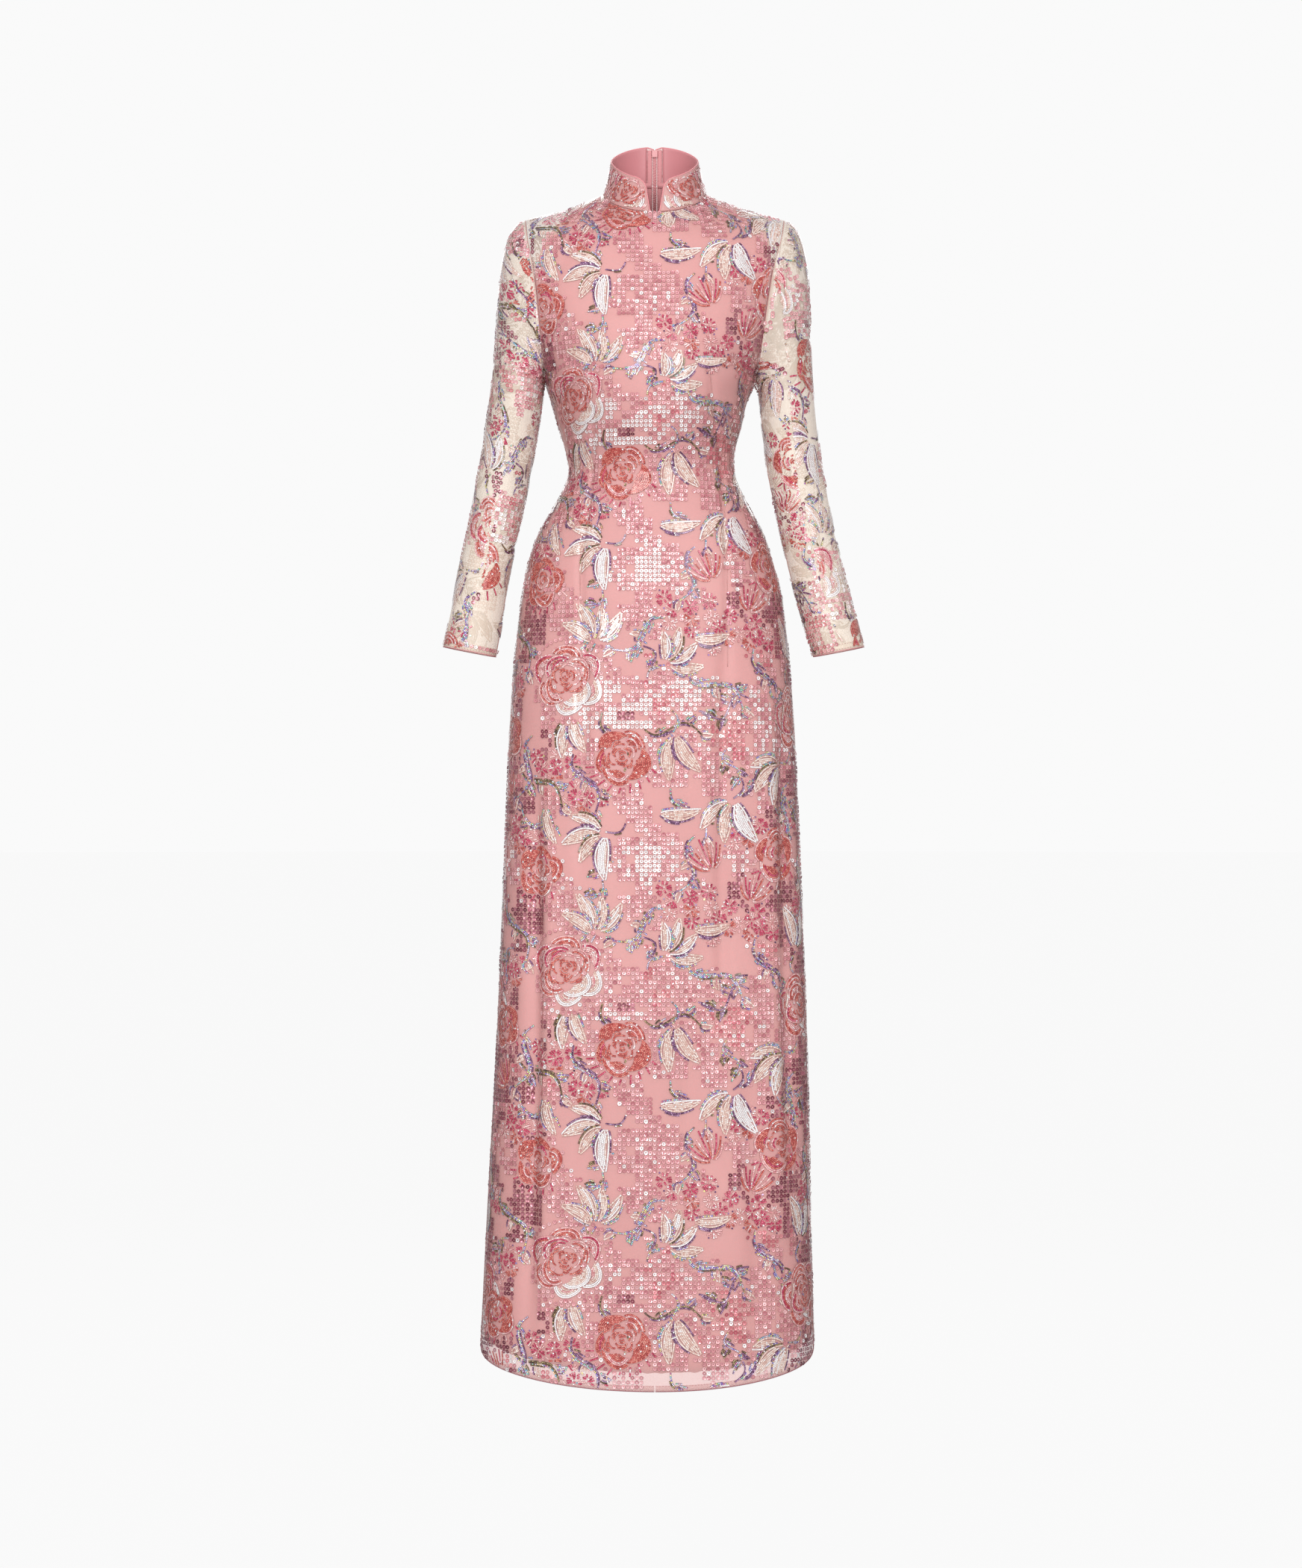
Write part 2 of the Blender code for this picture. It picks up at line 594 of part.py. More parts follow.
def block(name, low, high, bevel=0.0):
    """A cuboid between two corners, with softened edges."""
    bpy.ops.mesh.primitive_cube_add(size=1.0)
    thing = bpy.context.object
    thing.name = name
    size = Vector(high) - Vector(low)
    middle = (Vector(high) + Vector(low)) / 2.0
    thing.data.transform(Matrix.Translation(middle) @ Matrix.Diagonal((*size, 1.0)))
    if bevel:
        soften = thing.modifiers.new("soften", "BEVEL")
        soften.width = bevel
        soften.segments = 2
    for collection in list(thing.users_collection):
        collection.objects.unlink(thing)
    parts.objects.link(thing)
    return thing


def as_cutter(thing):
    parts.objects.unlink(thing)
    cutters.objects.link(thing)
    thing.hide_render = True
    thing.display_type = "WIRE"
    return thing


def joined(base, others, operation):
    for other in others:
        boolean = base.modifiers.new(other.name, "BOOLEAN")
        boolean.operation = operation
        boolean.object = as_cutter(other)
    return base


def zip_slider(frame):
    """The body inside, the plate outside, the neck between them and the crown."""
    body = block("zip_slider", (-0.0036, -0.0050, -0.0045), (0.0036, -0.0024, 0.0045), 0.0008)
    neck = block("slider_neck", (-0.0006, -0.0030, -0.0030), (0.0006, 0.0010, 0.0030))
    plate = block("slider_plate", (-0.0028, 0.0004, -0.0042), (0.0028, 0.0014, 0.0042))
    crown = block("slider_crown", (-0.0007, 0.0010, -0.0035), (0.0007, 0.0042, 0.0035))
    under = block("slider_under", (-0.0020, 0.0014, -0.0025), (0.0020, 0.0032, 0.0025))
    joined(body, [neck, plate, crown], "UNION")
    joined(body, [under], "DIFFERENCE")
    body.data.materials.append(cloth_material("zip_slider", *SLIDER_LOOKS))
    for thing in (body, neck, plate, crown, under):
        thing.matrix_world = frame
    return body


def pull_tab(frame):
    """A flat tab with a slot at its top; its bar lies under the slider's crown."""
    tab = block("zip_pull_tab", (-TAB_HALF, -TAB / 2, -TAB_LONG), (TAB_HALF, TAB / 2, TAB / 2))
    slot = block("tab_slot", (-TAB_SLOT, -TAB, -TAB_SLOT_LONG), (TAB_SLOT, TAB, -TAB / 2))
    joined(tab, [slot], "DIFFERENCE")
    tab.data.materials.append(cloth_material("zip_pull_tab", *SLIDER_LOOKS))
    axis = bpy.data.objects.new("tab_axis", None)
    parts.objects.link(axis)
    axis.matrix_world = frame @ Matrix.Translation((0.0, TAB_OUT, 0.0))
    for thing in (tab, slot):
        thing.parent = axis
    return tab


# ---------------------------------------------------------------- the object

for old in list(bpy.data.objects):
    bpy.data.objects.remove(old, do_unlink=True)
parts = bpy.data.collections.new("ao_dai_tunic")
cutters = bpy.data.collections.new("cutters")
bpy.context.scene.collection.children.link(parts)
bpy.context.scene.collection.children.link(cutters)

body_surfaces = {(side, front): body_surface(side, front)
                 for side in SIDES for front in (True, False)}
collar_surfaces = {side: collar_surface(side) for side in SIDES}

body_pieces(body_surfaces)
for sleeve_side in SIDES:
    sleeve(body_surfaces, sleeve_side)
collar_pieces(collar_surfaces)
zip_pieces(body_surfaces, collar_surfaces)
zip_frame = slider_frame(collar_surfaces)
zip_slider(zip_frame)
pull_tab(zip_frame)
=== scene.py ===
"""The looks of the ao dai tunic: sheer net over an opaque lining, sewn all over with
sequins, worn and hollow.

Metres, +Z up. The origin is the middle of the neck at its base, the front faces -Y and
+X is the wearer's left. The outside of the body, the sleeves and the collar are worked
out again from the sizes of the cut, creased, and then every layer, seam and sequin is
laid on those surfaces.
"""

import json
import math

import bpy
import numpy as np
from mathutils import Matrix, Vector

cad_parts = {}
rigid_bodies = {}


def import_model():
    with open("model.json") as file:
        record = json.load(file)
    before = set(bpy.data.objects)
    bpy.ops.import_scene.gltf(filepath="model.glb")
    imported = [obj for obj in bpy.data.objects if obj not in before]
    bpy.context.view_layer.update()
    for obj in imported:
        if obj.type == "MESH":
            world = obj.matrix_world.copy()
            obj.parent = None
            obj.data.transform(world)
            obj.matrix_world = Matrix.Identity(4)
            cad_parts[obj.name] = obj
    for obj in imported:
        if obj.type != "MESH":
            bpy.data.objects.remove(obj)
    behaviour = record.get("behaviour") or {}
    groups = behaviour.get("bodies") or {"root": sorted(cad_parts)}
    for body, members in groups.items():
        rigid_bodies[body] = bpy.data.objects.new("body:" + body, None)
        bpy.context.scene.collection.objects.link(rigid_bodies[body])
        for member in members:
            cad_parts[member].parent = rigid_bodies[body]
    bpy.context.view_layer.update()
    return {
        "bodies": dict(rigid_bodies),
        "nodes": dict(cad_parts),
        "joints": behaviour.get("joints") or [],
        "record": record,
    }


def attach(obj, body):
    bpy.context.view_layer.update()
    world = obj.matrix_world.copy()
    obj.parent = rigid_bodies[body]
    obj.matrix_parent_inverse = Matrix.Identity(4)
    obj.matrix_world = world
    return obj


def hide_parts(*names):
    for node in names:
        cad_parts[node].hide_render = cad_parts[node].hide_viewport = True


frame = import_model()

# ---------------------------------------------------------------- sizes of the cut

SIDES = ("left", "right")
NET = 0.0005            # wall of the net
NET_IN = 0.0002         # its outside lies this far inside the form
LINING = 0.0006         # wall of the lining
LINING_DEPTH = 0.0024   # how far inside the form the lining's outside lies
FACING_DEPTH = 0.0013   # the same for the collar's facing
SEAM_GAP = 0.0003
NET_HEM_CENTRE = -1.454
NET_HEM_RISE = 0.046
LINING_HEM_UP = 0.023
SLIT_TOP = -0.380
SLIT_OPEN = 0.030
BACK_FLAP_IN = 0.004
LAST_LEVEL_ROW = -1.018
LINING_IN = (0.0020, 0.0004)

ZIP_BOTTOM = -0.395
ZIP_HALF_GAP = 0.0010
TAPE_ACROSS = (0.0032, 0.0095)
TAPE_DEPTH = 0.0013
TAPE = 0.0006
COIL_HALF = 0.0024
COIL_DEPTH = 0.0016
TOOTH_PITCH = 0.0016
LINING_FROM_ZIP = 0.0100
ZIP_V = 0.0030
ZIP_V_WIDE = 0.0080
TAPE_TOP = 0.07         # how far down the collar the tapes start, as a share of it
TOOTH_SHIFT = 0.0007    # of each tooth to its own side
TOOTH_LONG, TOOTH_THICK = 0.00052, 0.0006

LEVEL_COLUMNS = ("z", "left", "right", "front", "back", "side", "full")
LEVELS = (
    (-0.231, 0.1224, 0.1343, -0.123, 0.098, 0.004, 2.15),
    (-0.245, 0.1162, 0.1300, -0.122, 0.096, 0.005, 2.10),
    (-0.2815, 0.1067, 0.1190, -0.114, 0.089, 0.006, 2.05),
    (-0.318, 0.0975, 0.1085, -0.099, 0.080, 0.006, 2.05),
    (-0.337, 0.0975, 0.1058, -0.093, 0.077, 0.006, 2.05),
    (-0.3735, 0.1113, 0.1196, -0.094, 0.085, 0.006, 2.10),
    (-0.410, 0.1316, 0.1408, -0.098, 0.097, 0.006, 2.15),
    (-0.447, 0.1444, 0.1546, -0.102, 0.106, 0.006, 2.25),
    (-0.484, 0.1546, 0.1619, -0.106, 0.112, 0.006, 2.35),
    (-0.539, 0.1619, 0.1693, -0.109, 0.117, 0.006, 2.45),
    (-0.631, 0.1702, 0.1766, -0.111, 0.119, 0.006, 2.60),
    (-0.797, 0.1776, 0.1840, -0.113, 0.122, 0.006, 2.75),
    (-1.018, 0.1849, 0.1941, -0.117, 0.128, 0.006, 2.80),
    (-1.238, 0.1914, 0.2061, -0.121, 0.134, 0.006, 2.75),
    (-1.460, 0.1980, 0.2170, -0.125, 0.142, 0.006, 2.65),
)
YOKE_COLUMNS = ("z_mid", "z_edge", "left", "right", "y_mid", "y_edge", "turn")
FRONT_YOKE = (
    (-0.060, -0.056, 0.1535, 0.1545, -0.0835, -0.040, 38.0),
    (-0.098, -0.092, 0.1445, 0.1480, -0.0960, -0.053, 46.0),
    (-0.138, -0.134, 0.1375, 0.1430, -0.1090, -0.057, 56.0),
    (-0.172, -0.173, 0.1320, 0.1395, -0.1185, -0.053, 66.0),
    (-0.204, -0.207, 0.1270, 0.1365, -0.1230, -0.036, 78.0),
)
BACK_YOKE = (
    (-0.030, -0.056, 0.1550, 0.1560, 0.0740, 0.046, 34.0),
    (-0.078, -0.092, 0.1520, 0.1540, 0.0895, 0.064, 42.0),
    (-0.128, -0.134, 0.1450, 0.1490, 0.0985, 0.068, 52.0),
    (-0.168, -0.173, 0.1370, 0.1440, 0.1010, 0.062, 62.0),
    (-0.204, -0.207, 0.1290, 0.1385, 0.1000, 0.044, 76.0),
)

NECK_HALF = 0.0635
NECK_SIDE = (0.004, 0.003)
NECK_FRONT = (-0.066, -0.027)
NECK_BACK = (0.058, 0.022)
NECK_SWEEP = 1.2
SHOULDER_TIP = (0.158, 0.008, -0.0275)
SHOULDER_DIP = 0.003

COLLAR_TOP_HALF = 0.0545
COLLAR_TOP_FRONT = (-0.0575, 0.014)
COLLAR_TOP_SIDE = (0.002, 0.044)
COLLAR_TOP_BACK = (0.050, 0.069)
COLLAR_NOTCH = 0.0060
COLLAR_LEAN = 0.0070
COLLAR_CORNER = 0.0120
COLLAR_WAIST = 0.0012
COLLAR_UP = 0.0008

SLEEVE_COLUMNS = ("z", "mid_left", "wide_left", "mid_right", "wide_right", "y", "deep")
SLEEVE_RINGS = (
    (-0.245, 0.1625, 0.0345, 0.1702, 0.0331, 0.008, 0.0490),
    (-0.318, 0.1702, 0.0350, 0.1817, 0.0334, 0.011, 0.0450),
    (-0.392, 0.1840, 0.0340, 0.1955, 0.0318, 0.008, 0.0410),
    (-0.466, 0.2003, 0.0336, 0.2107, 0.0322, -0.001, 0.0385),
    (-0.536, 0.2190, 0.0330, 0.2225, 0.0335, -0.012, 0.0370),
    (-0.561, 0.2260, 0.0328, 0.2275, 0.0340, -0.016, 0.0370),
)
ARM_LEAN = 11.0
CAP_REACH = 0.130
PIT_REACH = 0.012
ARMHOLE_GAP = 0.0005
LINING_MEETS_ARMHOLE = -0.092
LINING_TOP = {"left": 0.74, "right": 0.60}

# How finely the surfaces are worked out.
FINE = 121              # samples along one half section
DENSE_ROWS = 1100       # samples down one half-surface
NET_ROWS = {"body": 210, "sleeve": 100, "collar": 22}
NET_COLUMNS = {"body": 56, "sleeve": 56, "collar": 60}


TURN = 2.0 * math.pi


def table(columns, rows):
    """The rows as one dictionary of number arrays."""
    return {name: np.array([row[i] for row in rows]) for i, name in enumerate(columns)}


def smooth(x):
    """A soft step from 0 to 1."""
    x = np.clip(x, 0.0, 1.0)
    return x * x * (3.0 - 2.0 * x)


def unit(vectors):
    return vectors / np.linalg.norm(vectors, axis=-1)[..., None]


def running(steps):
    """Distances from the start, one more than there are steps."""
    return np.concatenate(([0.0], np.cumsum(steps)))


def between(wanted, at, points):
    """Points on a polyline at the wanted distances."""
    return np.stack([np.interp(wanted, at, column) for column in points.T], axis=1)


# ---------------------------------------------------------------- the body surface

def evenly(points, count):
    """A polyline divided into count points at equal distances."""
    along = running(np.linalg.norm(np.diff(points, axis=0), axis=1))
    return between(np.linspace(0.0, along[-1], count), along, points)


def arc_section(reach, y_mid, y_edge, z_mid, z_edge, turn, full):
    """Half a section, from the centre line out to the side or the armhole."""
    angle = np.linspace(0.0, math.radians(turn), 400)
    power = 2.0 / full
    across = np.sin(angle) ** power
    drop = np.abs(np.cos(angle)) ** power
    across = across / across[-1]
    drop = (drop - drop[-1]) / (drop[0] - drop[-1])
    x = reach * across
    y = y_edge + (y_mid - y_edge) * drop
    z = z_mid + (z_edge - z_mid) * across
    return evenly(np.stack([x, y, z], axis=1), FINE)


def neckline(neck_mid):
    """Half the neckline, from its centre to the shoulder seam."""
    angle = np.linspace(0.0, math.pi / 2.0, 200)
    y_side, z_side = NECK_SIDE
    y_mid, z_mid = neck_mid
    return np.stack([
        NECK_HALF * np.sin(angle),
        y_side + (y_mid - y_side) * np.cos(angle),
        z_side + (z_mid - z_side) * np.cos(angle) ** NECK_SWEEP,
    ], axis=1)


def shoulder_section(neck_mid):
    """The top row of a panel: half the neckline, then the shoulder line."""
    half = FINE // 2
    share = np.linspace(0.0, 1.0, 100)
    start = np.array([NECK_HALF, *NECK_SIDE])
    line = start + (np.array(SHOULDER_TIP) - start) * share[:, None]
    line[:, 2] -= SHOULDER_DIP * np.sin(math.pi * share)
    return np.concatenate([evenly(neckline(neck_mid), half + 1)[:-1],
                           evenly(line, FINE - half)])


def key_rows(side, front):
    """The sections of one half-surface from the shoulder line to below the hem."""
    middle = "front" if front else "back"
    rows = [shoulder_section(NECK_FRONT if front else NECK_BACK)]
    yoke = table(YOKE_COLUMNS, FRONT_YOKE if front else BACK_YOKE)
    for i in range(len(yoke["turn"])):
        rows.append(arc_section(
            yoke[side][i], yoke["y_mid"][i], yoke["y_edge"][i],
            yoke["z_mid"][i], yoke["z_edge"][i], yoke["turn"][i], 2.0))
    levels = table(LEVEL_COLUMNS, LEVELS)
    for i, z in enumerate(levels["z"]):
        free = max(0.0, (SLIT_TOP - z) / (SLIT_TOP - NET_HEM_CENTRE))
        reach = levels[side][i] - (0.0 if front else BACK_FLAP_IN * free)
        away = 0.5 * SLIT_OPEN * free + 0.5 * SEAM_GAP
        y_side = levels["side"][i] + (-away if front else away)
        rows.append(arc_section(
            reach, levels[middle][i], y_side, z, z, 90.0, levels["full"][i]))
    return np.array(rows)


def cubic(t, start, leave, end, arrive, length=1.0):
    """Points of a curve that leaves its start and reaches its end in given ways."""
    return ((1 + 2 * t) * (1 - t) ** 2 * start + t * (1 - t) ** 2 * length * leave
            + t * t * (3 - 2 * t) * end + t * t * (t - 1) * length * arrive)


def hermite(rows, slope, at, wanted):
    """A smooth surface through rows that lie at these distances."""
    i = np.clip(np.searchsorted(at, wanted, side="right") - 1, 0, len(at) - 2)
    h = (at[i + 1] - at[i])[:, None, None]
    t = (wanted - at[i])[:, None, None] / h
    return cubic(t, rows[i], slope[i], rows[i + 1], slope[i + 1], h)


def middle_slopes(rows, at):
    """Slope of each line at each row, from its neighbours."""
    steps = np.diff(rows, axis=0) / np.diff(at)[:, None, None]
    before = np.diff(at)[:-1, None, None]
    after = np.diff(at)[1:, None, None]
    slope = np.empty_like(rows)
    slope[1:-1] = (steps[:-1] * after + steps[1:] * before) / (before + after)
    slope[0] = steps[0]
    slope[-1] = steps[-1]
    return slope


def surface_of(points, at, outward, **facts):
    """A surface: points, unit normals facing outward, and the length of each row."""
    normals = unit(np.cross(np.gradient(points, axis=0), np.gradient(points, axis=1)))
    lengths = np.linalg.norm(np.diff(points, axis=1), axis=2).sum(axis=1)
    return {"points": points, "normals": normals * outward, "at": at,
            "lengths": lengths, **facts}


def body_surface(side, front):
    """One half of the body, front or back, from the shoulder line to below the hem."""
    rows = key_rows(side, front)
    opposite = key_rows(side, not front)
    steps = np.linalg.norm(np.diff(rows, axis=0), axis=2).mean(axis=1)
    at = running(steps)
    over = unit(rows[1] - opposite[1])
    straight = (rows[1] - rows[0]) / at[1]
    rounding = smooth((np.linspace(0.0, 1.0, FINE) - 0.25) / 0.35)[:, None]
    slope = middle_slopes(rows, at)
    slope[0] = straight + (over - straight) * rounding
    dense_at = np.linspace(0.0, at[-1], DENSE_ROWS)
    points = hermite(rows, slope, at, dense_at)
    points[..., 0] *= 1.0 if side == "left" else -1.0
    outward = -1.0 if (side == "left") != front else 1.0
    flat = surface_of(points, dense_at, outward, side=side, front=front,
                      under=at[len(FRONT_YOKE) + 1])
    depth = body_creases(flat)
    creased = points - depth[..., None] * flat["normals"]
    return surface_of(creased, dense_at, outward, side=side, front=front,
                      under=flat["under"])


def sampled(surface, stations, shares):
    """Points, normals and the directions across and down at these places."""
    rows, columns = surface["points"].shape[:2]
    r = np.clip(np.asarray(stations) / surface["at"][-1] * (rows - 1), 0, rows - 1.001)
    c = np.clip(np.asarray(shares) * (columns - 1), 0, columns - 1.001)
    r, c = np.broadcast_arrays(r, c)
    i, j = r.astype(int), c.astype(int)
    a, b = (r - i)[..., None], (c - j)[..., None]

    def mixed(grid):
        top = grid[i, j] * (1 - b) + grid[i, j + 1] * b
        low = grid[i + 1, j] * (1 - b) + grid[i + 1, j + 1] * b
        return top * (1 - a) + low * a

    points = surface["points"]
    normal = unit(mixed(surface["normals"]))
    down = unit(points[i + 1, j] - points[i, j])
    down = unit(down - (down * normal).sum(-1)[..., None] * normal)
    return mixed(points), normal, np.cross(normal, down), down


def beneath(surface, stations, shares, depth):
    """Points this far beneath a surface, and their normals."""
    points, normals, _, _ = sampled(surface, stations, shares)
    return points - depth * normals, normals


def station_at(surface, z, share=0.0):
    """The station where one line of the surface passes this height."""
    column = int(round(share * (surface["points"].shape[1] - 1)))
    return float(np.interp(-z, -surface["points"][:, column, 2], surface["at"]))


def row_length(surface, stations):
    """How long the rows of a surface are at these stations."""
    return np.interp(stations, surface["at"], surface["lengths"])


# ---------------------------------------------------------------- creases

# Soft creases of the body: where each starts and ends (x across, z), how far it bows,
# its half width and its depth. A negative depth is a ridge.
CREASE_COLUMNS = ("x0", "z0", "x1", "z1", "bow", "wide", "deep")
FRONT_CREASES = (
    (-0.102, -0.146, 0.030, -0.140, -0.008, 0.0060, 0.0022),
    (-0.088, -0.163, -0.010, -0.153, -0.006, 0.0080, -0.0014),
    (0.112, -0.150, 0.050, -0.168, 0.006, 0.0070, 0.0016),
    (-0.112, -0.214, -0.075, -0.200, 0.004, 0.0060, 0.0013),
    (0.118, -0.222, 0.088, -0.206, -0.004, 0.0055, 0.0013),
    (-0.124, -0.118, -0.098, -0.074, 0.006, 0.0080, 0.0018),
    (0.132, -0.124, 0.104, -0.078, -0.006, 0.0080, 0.0018),
    (-0.094, -0.331, -0.050, -0.322, 0.003, 0.0050, 0.0012),
    (0.100, -0.338, 0.062, -0.327, 0.003, 0.0050, 0.0012),
    (-0.086, -0.500, -0.092, -0.860, 0.003, 0.0070, 0.0040),
    (0.086, -0.500, 0.084, -1.060, -0.004, 0.0085, 0.0052),
    (-0.146, -0.640, -0.154, -1.440, 0.004, 0.0095, 0.0080),
    (-0.130, -0.700, -0.138, -1.420, 0.003, 0.0100, -0.0034),
    (0.158, -0.560, 0.164, -1.240, -0.003, 0.0095, 0.0068),
    (0.142, -0.640, 0.150, -1.300, 0.004, 0.0100, -0.0030),
    (-0.020, -0.720, -0.030, -1.380, 0.006, 0.0180, 0.0036),
    (0.045, -0.860, 0.052, -1.445, -0.005, 0.0160, 0.0040),
    (-0.082, -0.940, -0.092, -1.448, 0.004, 0.0140, 0.0042),
    (0.110, -1.020, 0.124, -1.446, 0.004, 0.0130, 0.0042),
)
BACK_CREASES = (
    (-0.120, -0.120, -0.092, -0.072, 0.006, 0.0080, 0.0020),
    (0.128, -0.128, 0.098, -0.080, -0.006, 0.0080, 0.0020),
    (-0.108, -0.190, -0.050, -0.172, 0.006, 0.0070, 0.0014),
    (0.112, -0.196, 0.046, -0.182, -0.005, 0.0070, 0.0014),
    (-0.088, -0.338, -0.030, -0.330, -0.004, 0.0060, 0.0022),
    (0.090, -0.346, 0.026, -0.336, -0.005, 0.0060, 0.0020),
    (-0.080, -0.322, -0.036, -0.312, 0.004, 0.0050, 0.0014),
    (-0.060, -0.560, -0.068, -1.400, 0.006, 0.0140, 0.0034),
    (0.052, -0.600, 0.060, -1.420, -0.006, 0.0150, 0.0030),
    (-0.128, -0.540, -0.140, -1.430, 0.005, 0.0110, 0.0038),
    (0.136, -0.580, 0.148, -1.420, -0.004, 0.0110, 0.0036),
    (-0.100, -0.800, -0.106, -1.440, 0.004, 0.0130, -0.0024),
    (0.098, -0.760, 0.102, -1.440, 0.004, 0.0130, -0.0022),
)
# Darts, from their upper end to their lower end: points (x, z) down each line.
DARTS = {
    ("right", True): ((0.073, -0.268), (0.078, -0.368), (0.091, -0.453), (0.089, -0.530)),
    ("left", True): ((0.066, -0.225), (0.082, -0.335), (0.0875, -0.450), (0.088, -0.581)),
    ("right", False): ((0.064, -0.215), (0.058, -0.335), (0.072, -0.500)),
    ("left", False): ((0.068, -0.218), (0.061, -0.340), (0.075, -0.505)),
}
DART_WIDE = 0.0036
DART_DEEP = 0.0028


def crease_depth(x, z, creases):
    """How far every point is pressed in by a table of creases."""
    depth = np.zeros_like(x)
    for row in creases:
        c = dict(zip(CREASE_COLUMNS, row))
        along = np.array([c["x1"] - c["x0"], c["z1"] - c["z0"]])
        length = np.linalg.norm(along)
        along /= length
        s = ((x - c["x0"]) * along[0] + (z - c["z0"]) * along[1]) / length
        t = -(x - c["x0"]) * along[1] + (z - c["z0"]) * along[0]
        t = t - c["bow"] * np.sin(np.pi * np.clip(s, 0.0, 1.0))
        ends = smooth(s / 0.25) * smooth((1.0 - s) / 0.25)
        depth += c["deep"] * ends * np.exp(-(t / c["wide"]) ** 2)
    return depth


def body_creases(flat):
    """Depth of the creases and darts over one half of the body."""
    x, z = flat["points"][..., 0], flat["points"][..., 2]
    depth = crease_depth(x, z, FRONT_CREASES if flat["front"] else BACK_CREASES)
    dart = np.array(DARTS[flat["side"], flat["front"]])
    at = np.interp(-z, -dart[:, 1], dart[:, 0])
    ends = (smooth((dart[0, 1] - z) / 0.05 + 0.4)
            * smooth((z - dart[-1, 1]) / 0.05 + 0.4))
    depth += DART_DEEP * ends * np.exp(-((np.abs(x) - at) / DART_WIDE) ** 2)
    share = np.linspace(0.0, 1.0, x.shape[1])[None, :]
    waves = np.sin(27.0 * x + 2.0 * np.sin(3.1 * z)) * smooth((-0.55 - z) / 0.6)
    depth += 0.0016 * waves
    edge = smooth(flat["at"][:, None] / 0.012) * smooth((1.0 - share) / 0.02)
    return depth * edge


# ---------------------------------------------------------------- sleeves and collar

# Creases of a sleeve: how far down and round it starts and ends (m, turns), as above.
SLEEVE_CREASES = (
    (-0.105, -0.070, -0.050, -0.045, 0.006, 0.0070, 0.0030),
    (0.100, -0.075, 0.052, -0.048, -0.006, 0.0070, 0.0030),
    (-0.110, -0.105, -0.060, -0.090, 0.004, 0.0070, 0.0022),
    (-0.060, -0.268, 0.020, -0.262, 0.006, 0.0050, 0.0024),
    (-0.050, -0.284, 0.042, -0.290, -0.005, 0.0055, 0.0030),
    (-0.072, -0.310, 0.010, -0.322, -0.006, 0.0055, 0.0026),
    (-0.030, -0.335, 0.060, -0.330, 0.005, 0.0060, 0.0020),
    (-0.066, -0.408, 0.024, -0.420, 0.005, 0.0060, 0.0022),
    (-0.040, -0.452, 0.056, -0.444, -0.005, 0.0055, 0.0022),
    (-0.060, -0.488, 0.030, -0.500, 0.005, 0.0050, 0.0026),
    (-0.030, -0.516, 0.066, -0.508, 0.004, 0.0050, 0.0022),
    (0.040, -0.150, 0.075, -0.240, 0.006, 0.0080, 0.0018),
    (-0.045, -0.160, -0.070, -0.250, 0.006, 0.0080, 0.0018),
)


def armhole(bodies, side):
    """The seam loop: shoulder tip, down the back edge, armpit, up the front edge."""
    edges = {}
    for front in (True, False):
        body = bodies[side, front]
        stations = np.linspace(0.0004, body["under"], 60)
        edges[front], _ = beneath(body, stations, 1.0, 0.0)
    tip = 0.5 * (edges[True][:1] + edges[False][:1])
    pit = 0.5 * (edges[True][-1:] + edges[False][-1:])
    return np.concatenate([tip, edges[False][1:-1], pit, edges[True][-2:0:-1], tip])


def sleeve_surface(bodies, side):
    """A sleeve from its seam to the cuff; columns start on top and turn backwards."""
    seam = armhole(bodies, side)
    count = len(seam)
    out = 1.0 if side == "left" else -1.0
    lean = math.radians(ARM_LEAN)
    angle = np.linspace(0.0, TURN, count)[:, None]
    across = np.array([out * math.cos(lean), 0.0, math.sin(lean)])
    backwards = np.array([0.0, 1.0, 0.0])
    sizes = table(SLEEVE_COLUMNS, SLEEVE_RINGS)
    rings = np.array([
        np.array([out * sizes[f"mid_{side}"][i], sizes["y"][i], z])
        + sizes[f"wide_{side}"][i] * math.cos(lean) * np.cos(angle) * across
        + sizes["deep"][i] * np.sin(angle) * backwards
        for i, z in enumerate(sizes["z"])])
    top = 0.5 + 0.5 * np.cos(angle)
    spring = unit(top * np.array([out, 0.0, -0.23])
                  + (1 - top) * np.array([0.5 * out, 0.0, -1]))
    start = seam + ARMHOLE_GAP * spring
    reach = np.linalg.norm(rings[0] - start, axis=1)[:, None]
    leave = spring * (CAP_REACH * top + PIT_REACH * (1 - top))
    arrive = unit(rings[1] - rings[0]) * reach
    head = np.array([cubic(t, start, leave, rings[0], arrive)
                     for t in np.linspace(0.0, 1.0, 24)[:-1]])
    keys = np.concatenate([head, rings])
    steps = np.linalg.norm(np.diff(keys, axis=0), axis=2).mean(axis=1)
    at = running(steps)
    dense_at = np.linspace(0.0, at[-1], 520)
    points = hermite(keys, middle_slopes(keys, at), at, dense_at)
    flat = surface_of(points, dense_at, out)
    girth = flat["lengths"][:, None]
    around = (np.linspace(-0.5, 0.5, count)[None, :] * girth + 0.75 * girth) % girth
    around = around - 0.5 * girth
    depth = crease_depth(around * out, -dense_at[:, None] + 0.0 * around,
                         SLEEVE_CREASES)
    depth *= smooth(dense_at / 0.03)[:, None] * smooth((at[-1] - dense_at) / 0.02)[:, None]
    depth[:, -1] = depth[:, 0]
    creased = surface_of(points - depth[..., None] * flat["normals"], dense_at, out,
                         side=side)
    ends = unit(creased["normals"][:, 0] + creased["normals"][:, -1])
    creased["normals"][:, 0] = ends
    creased["normals"][:, -1] = ends
    return creased


